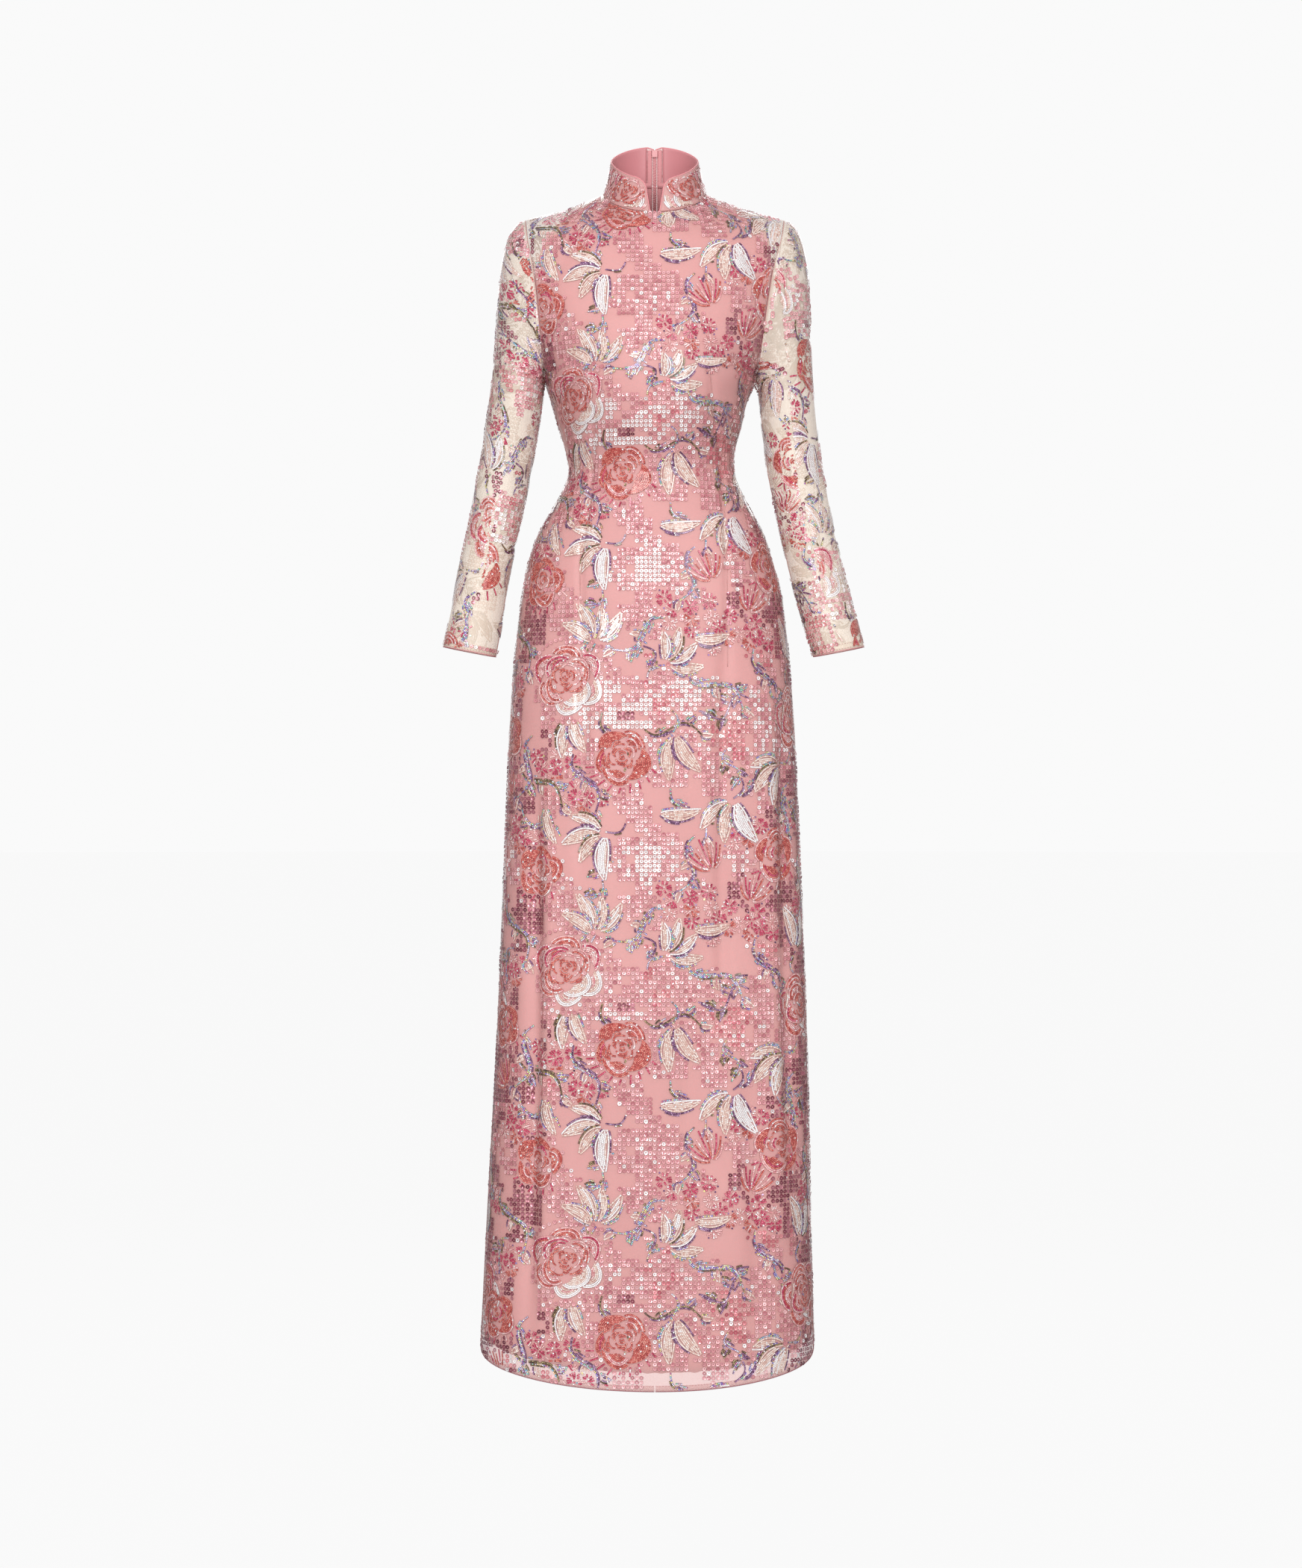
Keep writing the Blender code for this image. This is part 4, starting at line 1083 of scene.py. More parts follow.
def sleeve_cloth(sleeves):
    """The net of each sleeve, one tube from its seam to the cuff."""
    made = {}
    for side in SIDES:
        surface = sleeves[side]
        stations = np.linspace(0.0, surface["at"][-1], NET_ROWS["sleeve"])[:, None]
        shares = np.linspace(0.0, 1.0, NET_COLUMNS["sleeve"])[None, :]
        points, normals, _, _ = sampled(surface, stations, shares)
        points[:, -1] = points[:, 0]
        normals[:, -1] = normals[:, 0]
        made[f"sleeve_{side}"] = ride(
            shell(f"sleeve_net_{side}", points - NET_IN * normals, normals, NET,
                  NET_CLOTH, closed=True), "net", f"sleeve_{side}")
    return made


def collar_band(collar, depth, first, rows, columns):
    """Points and normals of one half of the collar, cut to its band."""
    places = np.array([[collar_place(collar, down, share, first)
                        for share in np.linspace(0.0, 1.0, columns)]
                       for down in np.linspace(0.0, 1.0, rows)])
    return beneath(collar, places[..., 0], places[..., 1], depth)


def collar_cloth(collars):
    """The net and the facing of each half of the collar."""
    made = {}
    size = NET_ROWS["collar"], NET_COLUMNS["collar"]
    for side in SIDES:
        for piece, node, slot, depth, first, wall, cloth in (
                ("net", "collar", "net", NET_IN, ZIP_HALF_GAP, NET, BODY_NET),
                ("facing", "collar_lining", "lining", FACING_DEPTH, LINING_FROM_ZIP, LINING,
                 FACING_CLOTH)):
            band = collar_band(collars[side], depth, first, *size)
            made[f"{node}_{side}"] = ride(
                shell(f"collar_{piece}_{side}", *band, wall, cloth), slot,
                f"{node}_{side}")
    return made


# ---------------------------------------------------------------- the embroidered repeat

RING_PITCH = 0.0054
RING = 0.00268          # outer radius of a ring sequin
BEAD_PITCH = 0.0027     # the shortest row that is sewn
BUD = 0.0012            # radius of a bead sewn by itself
ROW_PITCH = 0.00215     # between stitched rows of beads
ROW_CHECK = 0.0018      # how often a row looks for free ground
ROW_NEAR, ROW_BROAD = 0.0006, 0.0011    # how far it looks, and how far it takes
TILE_WIDE = 82 * RING_PITCH
TILE_TALL = 65 * RING_PITCH
CELL = 0.0006           # grid that keeps track of which ground is taken
KIND_NAMES = [*RING_KINDS, *BEAD_KINDS]

SIDES_OF_PIECE = 6      # a ring sequin and a bead are cut as hexagons
RING_HOLE, RING_CUP = 0.36, 0.10    # of a ring's radius
ROW_HALF = 0.00100      # half the width of a stitched row
SEQUIN_LIFT = 0.0007    # above the cloth
TILT = 0.13             # how unevenly the pieces lie, in radians
EDGE_MARGIN = 0.0022    # no piece this close to a seam or a hem
ZIP_MARGIN = 0.0045     # nor this close to the centre back
ROW_OVERLAP = 0.0036    # how far a row runs on past the centre front
HALF_WIDEST = 0.27      # of the front or back of the body
SLEEVE_TALLEST = 0.66
FRONT_ROSE_LEVEL = -0.342           # height of a row of roses on the centre front
BACK_SHIFT = (0.19, 0.11)           # of the repeat on the back, across and down

# Stepped blocks that follow a lobed outline: width and height as shares of their size,
# the rings of the block and of its heart, and the share left open between the two.
# The white rings of these blocks and of their hearts are painted glare.
STEPPED = {
    "pale_steps": (1.00, 1.00, "pale", "white", 0.10),
    "tall_steps": (0.66, 1.30, "pale", "rosy", 0.07),
    "white_steps": (1.30, 0.52, "white", "white", 0.0),
    "plum_steps": (0.80, 1.05, "plum", "plum", 0.0),
    "rosy_steps": (0.90, 0.90, "rosy", "pale", 0.08),
}

# The motifs of one repeat in the order they are sewn: place across and down from the
# middle of its top edge, size and turn.
MOTIFS = (
    ("rose", (
        (-0.04, 0.004, 0.038, 0.40), (0.156, 0.122, 0.036, 2.10),
        (-0.146, 0.142, 0.034, 1.20), (-0.204, 0.328, 0.032, 3.00))),
    ("full_rose", (
        (-0.108, 0.262, 0.043, 0.90), (0.20, 0.306, 0.04, 2.60))),
    ("tulip", (
        (0.07, 0.14, 0.036, -2.00), (0.118, 0.178, 0.034, -1.20),
        (-0.196, 0.052, 0.034, -2.20))),
    ("leaves", (
        (0.022, -0.026, 0.052, 1.30), (0.096, 0.054, 0.056, 1.75),
        (-0.06, 0.094, 0.052, 2.55), (-0.072, 0.218, 0.05, -1.75),
        (0.012, 0.244, 0.044, -0.85), (-0.104, 0.304, 0.054, 1.45),
        (0.19, 0.24, 0.05, -1.60), (0.166, 0.01, 0.05, 2.45))),
    ("long_leaf", (
        (0.006, 0.072, 0.052, -0.10), (0.048, 0.212, 0.046, -0.12),
        (-0.136, 0.066, 0.046, 1.25))),
    ("vine", (
        (0.022, 0.04, 0.074, 0.95), (-0.062, 0.172, 0.078, 2.20),
        (-0.06, 0.30, 0.08, 1.25), (0.128, 0.222, 0.084, 1.20),
        (0.19, 0.036, 0.086, 1.90), (-0.152, 0.33, 0.08, 1.90),
        (0.04, 0.246, 0.086, 0.60), (-0.20, 0.176, 0.084, 1.10),
        (0.096, 0.046, 0.07, -0.50), (0.014, 0.19, 0.074, 2.60),
        (-0.118, 0.102, 0.066, -2.60), (0.15, 0.262, 0.08, 0.90),
        (-0.172, 0.01, 0.08, 0.70), (0.052, 0.10, 0.07, 1.85),
        (-0.096, 0.35, 0.076, 1.20), (0.214, 0.12, 0.08, 1.75),
        (-0.012, 0.318, 0.07, 0.10))),
    ("sprig", (
        (-0.02, 0.20, 0.056, 1.20), (0.15, 0.06, 0.06, 0.30),
        (-0.186, 0.236, 0.06, 2.30), (-0.05, 0.13, 0.06, 2.20),
        (0.116, 0.284, 0.064, 2.75), (0.088, -0.006, 0.05, 1.30))),
    ("blossoms", (
        (0.11, 0.092, 0.026, 0.30), (-0.086, 0.052, 0.024, 0.70),
        (0.036, 0.172, 0.036, 0.30), (0.072, 0.20, 0.034, -0.25),
        (0.13, 0.206, 0.028, 1.30), (0.176, 0.082, 0.024, 0.60),
        (-0.172, 0.098, 0.03, 0.90), (0.208, 0.188, 0.032, 1.10),
        (-0.128, 0.014, 0.032, 0.40), (-0.19, 0.262, 0.026, 0.10))),
    ("pale_steps", ((-0.012, 0.122, 0.034, 0.60),)),
    ("rosy_steps", ((0.012, 0.262, 0.03, 1.60),)),
    ("plum_steps", ((0.162, 0.206, 0.028, 1.00),)),
    ("white_steps", (
        (-0.056, -0.036, 0.029, 0.30), (-0.006, -0.058, 0.025, 1.20),
        (0.05, -0.082, 0.026, 1.70))),
    ("tall_steps", (
        (0.094, -0.02, 0.064, 0.50), (0.058, 0.002, 0.04, 2.20))),
    ("pale_steps", (
        (0.132, -0.06, 0.036, 1.10), (-0.012, 0.134, 0.034, 2.40),
        (-0.058, 0.272, 0.036, 0.20), (-0.196, 0.11, 0.036, 1.90),
        (0.004, 0.276, 0.032, 3.30))),
    ("plum_steps", (
        (0.126, 0.17, 0.034, 0.80), (-0.196, 0.076, 0.036, 3.10),
        (0.206, 0.068, 0.034, 1.90), (0.214, 0.25, 0.036, 0.30),
        (-0.206, 0.286, 0.036, 2.20), (-0.044, 0.312, 0.026, 2.00),
        (-0.168, 0.20, 0.038, 1.40), (-0.214, 0.016, 0.034, 0.40),
        (0.166, 0.18, 0.03, 2.60))),
    ("rosy_steps", (
        (0.146, 0.214, 0.034, 0.90), (-0.16, 0.044, 0.03, 2.80),
        (0.196, 0.13, 0.03, 0.60))),
)


def turned_line(x, y, turn, along, aside):
    """A line given along and beside a direction, laid out flat from a point."""
    c, d = math.cos(turn), math.sin(turn)
    return np.stack([x + c * along - d * aside, y + d * along + c * aside], axis=1)


class Repeat:
    """One repeat of the embroidery, laid out flat; its edges meet all round."""

    def __init__(self, seed):
        self.random = np.random.default_rng(seed)
        self.sewn = []
        self.strung = []
        self.taken = np.zeros((round(TILE_TALL / CELL), round(TILE_WIDE / CELL)), bool)

    def cells(self, rows, columns):
        """The cells of the ground at these rows and columns, round its edges."""
        return rows % self.taken.shape[0], columns % self.taken.shape[1]

    def discs(self, radius):
        reach = math.ceil(radius / CELL)
        y, x = np.mgrid[-reach:reach + 1, -reach:reach + 1]
        within = np.hypot(x, y) * CELL <= radius
        return y[within], x[within]

    def sew(self, x, y, kind, size):
        """Sews one piece on, where its ground is still free."""
        row, column = round(y / CELL), round(x / CELL)
        down, across = self.discs(0.72 * size)
        if self.taken[self.cells(row + down, column + across)].any():
            return
        down, across = self.discs(size)
        self.taken[self.cells(row + down, column + across)] = True
        self.sewn.append((x, y, KIND_NAMES.index(kind), size))

    def bead_row(self, points, kinds, chances):
        """A row of one kind along a line, if the line is long enough."""
        points = np.asarray(points, float)
        along = running(np.hypot(*np.diff(points, axis=0).T))
        if along[-1] < BEAD_PITCH:
            return
        self.string(points, along, kinds[self.random.choice(len(kinds), p=chances)])

    def string(self, points, along, kind):
        """A stitched row of beads, broken where its ground is taken."""
        places = np.linspace(0.0, along[-1], max(3, int(along[-1] / ROW_CHECK) + 1))
        xs, ys = between(places, along, points).T
        row = np.round(ys / CELL).astype(int)[:, None]
        column = np.round(xs / CELL).astype(int)[:, None]
        near, broad = self.discs(ROW_NEAR), self.discs(ROW_BROAD)
        free = ~self.taken[self.cells(row + near[0], column + near[1])].any(axis=1)
        ends = np.flatnonzero(np.diff(np.concatenate(([0], free.astype(int), [0]))))
        for first, last in zip(ends[::2], ends[1::2]):
            if last - first < 3:
                continue
            self.taken[self.cells(row[first:last] + broad[0],
                                  column[first:last] + broad[1])] = True
            kept = np.unique(np.append(np.arange(first, last, 2), last - 1))
            number = self.strung[-1][3] + 1 if self.strung else 0
            self.strung += [(xs[i], ys[i], list(STRUNG_KINDS).index(kind), number,
                             places[i]) for i in kept]

    def petal(self, x, y, angle, start, reach, sweep, rows, kinds, chances, bulge=0.2):
        """One petal: arcs of beads round a flower's middle, shorter towards its rim."""
        t = np.linspace(0.0, 1.0, 60)
        for row in range(rows):
            share = row / max(1, rows - 1)
            out = start + (reach - start) * share
            part = sweep * (1.0 - 0.36 * share * share)
            wave = 0.0005 * np.sin(TURN * t * out * part / 0.0125 + start * 900.0)
            r = out * (1.0 + bulge * np.sin(math.pi * t)) + wave
            turned = angle + sweep * 0.5 + part * (t - 0.5)
            self.bead_row(np.stack([x + r * np.cos(turned),
                                    y + 0.95 * r * np.sin(turned)], axis=1),
                          kinds, chances)

    def scallop(self, x, y, angle, away, radius, rows, edge, kinds, chances):
        """An outer petal: arcs round its own middle, the outermost in the edge's kind."""
        px, py = x + away * math.cos(angle), y + 0.95 * away * math.sin(angle)
        t = np.linspace(-0.5, 0.5, 50)
        for row in range(rows):
            r = radius - row * ROW_PITCH
            if r < ROW_PITCH:
                return
            turned = angle + 2.9 * (1.0 - 0.05 * row) * t
            r = r * (1.0 + 0.05 * np.cos(9.0 * t + away * 900.0))
            line = np.stack([px + r * np.cos(turned), py + r * np.sin(turned)], axis=1)
            at_edge = row < len(edge)
            self.bead_row(line, (edge[row],) if at_edge else kinds,
                          (1.0,) if at_edge else chances)

    def heart(self, x, y, size, turn):
        """Curled coral rows in the middle of a flower."""
        radius, layer_number = 0.0028, 0
        while radius < size:
            petals = min(2 + layer_number, 4)
            for petal in range(petals):
                angle = (turn + 2.4 * layer_number + TURN * petal / petals
                         + self.random.uniform(-0.2, 0.2))
                start = radius * self.random.uniform(0.92, 1.12)
                self.petal(x, y, angle, start, start + ROW_PITCH,
                           TURN / petals * self.random.uniform(0.74, 0.98), 2,
                           ("coral", "pink", "magenta"), (0.80, 0.14, 0.06))
            radius += 2 * ROW_PITCH + 0.0009
            layer_number += 1

    def rose(self, x, y, size, turn):
        """A coral rose: a curled heart, scalloped petals and magenta tips below."""
        self.heart(x, y - 0.06 * size, 0.42 * size, turn)
        for petal in range(5):
            angle = turn + TURN * petal / 5 + self.random.uniform(-0.2, 0.2)
            edge = (("pink",), ("coral",), (), ())[int(self.random.integers(0, 4))]
            self.scallop(x, y, angle, size * self.random.uniform(0.38, 0.50),
                         size * self.random.uniform(0.44, 0.54), 8, edge,
                         ("coral", "pink", "magenta"), (0.86, 0.10, 0.04))
        for i in range(9):
            angle = 1.57 + (i - 4) * 0.30
            foot = np.array([x + 0.94 * size * math.cos(angle),
                             y + 0.88 * size * math.sin(angle)])
            tip = foot + 0.30 * size * np.array([math.cos(angle + 0.35),
                                                 math.sin(angle + 0.35)])
            self.bead_row(np.array([foot, tip]), ("magenta", "pink"), (0.72, 0.28))

    def full_rose(self, x, y, size, turn):
        """A coral heart inside wide pale petals, with a painted highlight on one side: white
        edges and ivory rows there.
        """
        self.heart(x, y - 0.10 * size, 0.46 * size, turn)
        for ring, (petals, away, radius) in enumerate(((4, 0.36, 0.40), (6, 0.62, 0.42))):
            for petal in range(petals):
                angle = turn + 0.6 * ring + TURN * petal / petals
                # painted highlight: petals on this side take white edges and ivory rows
                lit = math.cos(angle - 0.9) > 0.55
                edge = ("white", "white") if lit else (("pink", "coral") if petal % 2
                                                       else ("pink", "magenta"))
                main = ("ivory", "pink") if lit else ("pink", "coral")
                self.scallop(x, y, angle, away * size * self.random.uniform(0.92, 1.08),
                             radius * size * self.random.uniform(0.90, 1.10), 7, edge,
                             main, (0.68, 0.32))
        for angle in np.arange(0.0, TURN, 1.10 * RING_PITCH / size):
            if math.sin(2.5 * (angle - turn)) > -0.1:
                self.sew(x + 1.20 * size * math.cos(angle),
                         y + 1.18 * size * math.sin(angle), "pale", RING)

    def one_leaf(self, x, y, long, wide, turn, kinds=("ivory", "white"),
                 chances=(0.86, 0.14), edge="purple"):
        """Rows of beads along a pointed leaf, with a dark line down one edge."""
        s = np.linspace(0.0, 1.0, 40)
        bow = 0.08 * long * np.sin(math.pi * s)
        half = 0.5 * wide * np.sin(math.pi * s ** 0.85) ** 0.8

        def at(across):
            return turned_line(x, y, turn, s * long, across + bow)

        for sign in (-1.0, 1.0):
            self.bead_row(at(sign * half)[1:-1], kinds, chances)
        rows = max(1, int(wide / ROW_PITCH))
        for row in range(rows):
            across = (row - 0.5 * (rows - 1)) * ROW_PITCH
            within = np.abs(across) < half - 0.0012
            if within.sum() > 3:
                self.bead_row(at(np.full_like(s, across))[within], kinds, chances)
        for line, part, pair, chances in (
                (half + 0.0024, slice(32), (edge, "hues"), (0.6, 0.4)),
                (half + 0.0046, slice(4, 18), (edge, "hues"), (0.4, 0.6)),
                (-(half + 0.0024), slice(2, 22), ("hues", edge), (0.6, 0.4))):
            self.bead_row(at(line)[part], pair, chances)

    def leaves(self, x, y, size, turn):
        """Two to four leaves from one point, on a short stalk."""
        count = 2 + int(self.random.integers(0, 3))
        for i in range(count):
            spread = (i - 0.5 * (count - 1)) * self.random.uniform(0.50, 0.72)
            long = size * self.random.uniform(0.82, 1.06)
            white = self.random.random() < 0.20
            kinds = ("white", "ivory") if white else ("ivory", "white")
            self.one_leaf(x + 0.006 * math.cos(turn + spread),
                          y + 0.006 * math.sin(turn + spread), long,
                          0.30 * long, turn + spread, kinds,
                          edge=("purple", "olive")[i % 2])
        t = np.linspace(0.0, 1.0, 20)
        stalk = turned_line(x, y, turn + math.pi, 0.026 * t, 0.010 * np.sin(2.6 * t))
        self.bead_row(stalk, ("hues", "purple"), (0.8, 0.2))
        self.bead_row(stalk[4:12] + 0.0016, ("hues", "olive"), (0.6, 0.4))

    def long_leaf(self, x, y, size, turn):
        self.one_leaf(x, y, size, 0.24 * size, turn)

    def vine(self, x, y, size, turn):
        """A winding iridescent stem, three beads thick in its middle."""
        t = np.linspace(0.0, 1.0, 80)
        px, py = size * t, 0.13 * size * np.sin(TURN * t + 0.4)
        for shift, part in ((0.0, slice(None)), (ROW_PITCH, slice(8, 66)),
                            (-ROW_PITCH, slice(20, 54)), (2 * ROW_PITCH, slice(26, 48))):
            self.bead_row(turned_line(x, y, turn, px, py + shift)[part],
                          ("hues", "purple", "olive"), (0.52, 0.26, 0.22))
        stem = turned_line(x, y, turn, px, py)
        for i, share in enumerate((0.22, 0.48, 0.72, 0.98)):
            foot = stem[int(79 * share)]
            lean = turn + (0.8 if i % 2 else -0.8) * (share < 0.9)
            kinds = ("ivory", "pink") if i % 2 else ("hues", "purple")
            self.one_leaf(foot[0], foot[1], 0.22 * size, 0.075 * size, lean, kinds,
                          (0.8, 0.2), "purple" if i % 2 else "olive")

    def sprig(self, x, y, size, turn):
        """A thin iridescent stem with slim leaves on both sides."""
        t = np.linspace(0.0, 1.0, 60)
        stem = turned_line(x, y, turn, size * t,
                           0.16 * size * np.sin(2.4 * math.pi * t))
        self.bead_row(stem, ("hues", "olive", "purple"), (0.55, 0.25, 0.20))
        for i, share in enumerate((0.16, 0.36, 0.56, 0.76)):
            foot = stem[int(share * 59)]
            lean = turn + (0.75 if i % 2 else -0.75)
            self.one_leaf(foot[0], foot[1], 0.30 * size, 0.085 * size, lean,
                          ("hues", "purple", "olive"), (0.5, 0.3, 0.2), "olive")

    def blossoms(self, x, y, size, turn):
        """A cluster of small flowers in magenta, pink and coral, with dark buds."""
        for i in range(7):
            angle = turn + 2.4 * i
            out = size * math.sqrt((i + 0.3) / 7.0)
            fx, fy = x + out * math.cos(angle), y + 0.7 * out * math.sin(angle)
            main = ("magenta", "magenta", "pink", "coral")[i % 4]
            for petal in range(5):
                a = angle + TURN * petal / 5
                for lean in (0.0, -0.42, 0.42):
                    line = [[fx + r * math.cos(a + lean * s), fy + r * math.sin(a + lean * s)]
                            for r, s in ((0.0014, 0.9), (0.0055, 1.0), (0.0100, 0.7))]
                    self.bead_row(line, (main, "pink"), (0.8, 0.2))
            for side, bud in ((0.6, "purple"), (2.4, "hues")):
                self.sew(fx + 0.011 * math.cos(angle + side),
                         fy + 0.011 * math.sin(angle + side), bud, BUD)

    def tulip(self, x, y, size, turn):
        """Striped petals fanned out from the foot of the flower."""
        stripes = 11
        for i in range(stripes):
            share = (i - 0.5 * (stripes - 1)) / (0.5 * (stripes - 1))
            angle = turn + 0.95 * share
            long = size * (1.0 - 0.22 * abs(share) + 0.12 * math.cos(9.0 * share))
            t = np.linspace(0.10, 1.0, 24)
            swell = 0.10 * size * np.sin(math.pi * t) * share
            kinds = (("coral", "magenta"), ("pink", "coral"), ("magenta", "pink"))[i % 3]
            self.bead_row(turned_line(x, y, angle, long * t, swell), kinds, (0.8, 0.2))

    def stepped(self, wide, tall, main, heart, opening, x, y, size, turn):
        """A block of ring sequins whose outline goes in steps of two."""
        reach = int(1.7 * size / RING_PITCH)
        column, row = round(x / RING_PITCH), round(y / RING_PITCH)
        for i in range(-reach, reach + 1):
            for j in range(-reach, reach + 1):
                px = (2 * (j // 2) + 0.5) * RING_PITCH / (wide * size)
                py = (2 * (i // 2) + 0.5) * RING_PITCH / (tall * size)
                far, angle = math.hypot(px, py), math.atan2(py, px)
                lobes = (1.0 + 0.20 * math.sin(2 * angle + 3.0 * turn)
                         + 0.16 * math.sin(3 * angle + 5.0 * turn)
                         + 0.12 * math.sin(5 * angle + 7.0 * turn))
                share = far / lobes
                if share > 1.0 or abs(share - 0.52) < opening:
                    continue
                kind = main if share > 0.5 else heart
                self.sew((column + j) * RING_PITCH, (row + i) * RING_PITCH, kind, RING)

    def ground(self):
        """Ring sequins over part of the ground that the motifs leave free."""
        columns, rows = round(TILE_WIDE / RING_PITCH), round(TILE_TALL / RING_PITCH)
        for i in range(rows):
            for j in range(columns):
                u = TURN * (2 * (j // 2)) / columns
                v = TURN * (2 * (i // 2)) / rows
                cover = (math.sin(3 * u + 1.2 * math.sin(v) + 0.4)
                         + math.sin(2 * v + 1.5 * math.sin(2 * u) + 2.0)
                         + 0.8 * math.sin(5 * u - 3 * v + 1.0))
                shade = -math.cos(u) + 0.5 * math.sin(3 * v + 2 * u)
                if cover > 0.20:
                    kind = "plum" if shade > 0.75 else "pale"
                    self.sew(j * RING_PITCH, i * RING_PITCH, kind, RING)


def embroidered_repeat():
    """The pieces and the stitched rows of one repeat, as dictionaries of arrays."""
    repeat = Repeat(20)
    for kind, places in MOTIFS:
        for place in places:
            if kind in STEPPED:
                repeat.stepped(*STEPPED[kind], *place)
            else:
                getattr(repeat, kind)(*place)
    motif_pieces = len(repeat.sewn)
    repeat.ground()
    x, y, kind, size = np.array(repeat.sewn).T
    pieces = {"x": x % TILE_WIDE, "y": y % TILE_TALL, "kind": kind.astype(int),
              "size": size, "motif": np.arange(len(x)) < motif_pieces}
    x, y, kind, run, along = np.array(repeat.strung).T
    rows = {"x": x, "y": y, "kind": kind.astype(int), "run": run.astype(int),
            "along": along}
    return pieces, rows


def tiled(repeat, x_range, y_range, x_shift, y_shift):
    """The repeat laid side by side over a piece of cloth."""
    xs, ys, picks, copies = [], [], [], []
    index = np.arange(len(repeat["x"]))
    for i in range(math.floor((x_range[0] - x_shift) / TILE_WIDE) - 1,
                   math.ceil((x_range[1] - x_shift) / TILE_WIDE) + 1):
        for j in range(math.floor((y_range[0] - y_shift) / TILE_TALL) - 1,
                       math.ceil((y_range[1] - y_shift) / TILE_TALL) + 1):
            x = repeat["x"] + i * TILE_WIDE + x_shift
            y = repeat["y"] + j * TILE_TALL + y_shift
            keep = ((x > x_range[0]) & (x < x_range[1])
                    & (y > y_range[0]) & (y < y_range[1]))
            xs.append(x[keep])
            ys.append(y[keep])
            picks.append(index[keep])
            copies.append(np.full(keep.sum(), len(copies)))
    return tuple(np.concatenate(column) for column in (xs, ys, picks, copies))


def string_on(panel, surface, rows, picks, copies, stations, shares, own):
    """Lays the stitched rows of the repeat on a surface, as narrow ribbons."""
    points, normal, _, down = sampled(surface, stations, shares)
    across = np.cross(down, normal)
    run = rows["run"][picks]
    joined = ((np.diff(picks) == 1) & (np.diff(copies) == 0) & (np.diff(run) == 0)
              & (own[1:] | own[:-1]))
    first = np.flatnonzero(joined)
    if not len(first):
        return
    run_of = unit(points[first + 1] - points[first])
    heading = np.zeros_like(points)
    np.add.at(heading, first, run_of)
    np.add.at(heading, first + 1, run_of)
    side = unit(np.cross(normal, heading) + 1e-12 * across)
    used = np.unique(np.concatenate([first, first + 1]))
    place = np.zeros(len(points), int)
    place[used] = np.arange(len(used))
    random = np.random.default_rng(len(panel) * 11 + len(picks))
    lift = SEQUIN_LIFT + random.uniform(0.0, 0.0003, run.max() + 1)[run]
    middle = (points + lift[:, None] * normal)[used]
    edges = np.stack([middle - ROW_HALF * side[used], middle + ROW_HALF * side[used]],
                     axis=1)
    a, b = 2 * place[first], 2 * place[first + 1]
    faces = np.stack([a, a + 1, b + 1, b], axis=1)
    sewn = mesh_object(f"rows_{panel}", edges.reshape(-1, 3), [faces],
                       list(STRUNG_KINDS.values()), rows["kind"][picks][first], False)
    mark(sewn, "along", np.repeat(rows["along"][picks][used], 2))
    mark(sewn, "side", np.tile([-1.0, 1.0], len(used)))
    ride(sewn, "net")


def piece_shapes():
    """A ring sequin and a bead, each of radius 1, with their normal along +Z."""
    i = np.arange(SIDES_OF_PIECE)
    angle = TURN * i / SIDES_OF_PIECE
    circle = np.stack([np.cos(angle), np.sin(angle), 0.0 * angle], axis=1)
    hole = RING_HOLE * circle - np.array([0.0, 0.0, RING_CUP])
    n = (i + 1) % SIDES_OF_PIECE
    ring = np.stack([i, n, n + SIDES_OF_PIECE, i + SIDES_OF_PIECE], axis=1)
    return (np.concatenate([circle, hole]), ring), (circle, i[None])


def copies_of(points, blocks, places, frames, sizes):
    """Corners and faces of one small shape, repeated at many places."""
    local = points[None] * np.asarray(sizes).reshape(-1, 1, 3)
    across, down, out = (frame[:, None] for frame in frames)
    world = (places[:, None] + local[..., :1] * across + local[..., 1:2] * down
             + local[..., 2:] * out)
    base = (np.arange(len(places)) * len(points))[:, None, None]
    return world.reshape(-1, 3), [(block[None] + base).reshape(-1, block.shape[1])
                                  for block in blocks]


def sewn_mesh(name, shape, places, frames, sizes, slots, materials):
    """Sequins or beads, joined into one mesh, with each one's rim marked for the painted
    shade round it.
    """
    points, faces = shape
    world, blocks = copies_of(points, [faces], places, frames,
                              np.repeat(sizes[:, None], 3, axis=1))
    sewn = mesh_object(name, world, blocks, materials, np.repeat(slots, len(faces)), False)
    far = np.hypot(points[:, 0], points[:, 1])
    painted_rim_shade = np.where(far.min() < 0.9, (far - far.min()) / (1.0 - far.min() + 1e-9), 0.0)
    mark(sewn, "painted_rim_shade", np.tile(painted_rim_shade, len(places)))
    return sewn


# Levels of the front where white rings are kept as painted glare, as if facing the light, and
# how far each reaches.
LIT_LEVELS = ((-0.300, 0.040), (-0.455, 0.045), (-0.650, 0.060), (-0.830, 0.040))


def painted_glare_by_level(kind, points, random):
    """Painted glare: white rings stay white at the levels taken as facing the light, and some
    pale ones turn white there; elsewhere most are pale.
    """
    lit = sum(np.exp(-((points[:, 2] - z) / reach) ** 2) for z, reach in LIT_LEVELS)
    lit = np.where(points[:, 1] < 0.0, lit, 0.15)
    pale, white = KIND_NAMES.index("pale"), KIND_NAMES.index("white")
    chance = random.random(len(kind))
    kind = np.where((kind == white) & (chance > 0.12 + lit), pale, kind)
    return np.where((kind == pale) & (chance < 0.45 * (lit - 0.35)), white, kind)


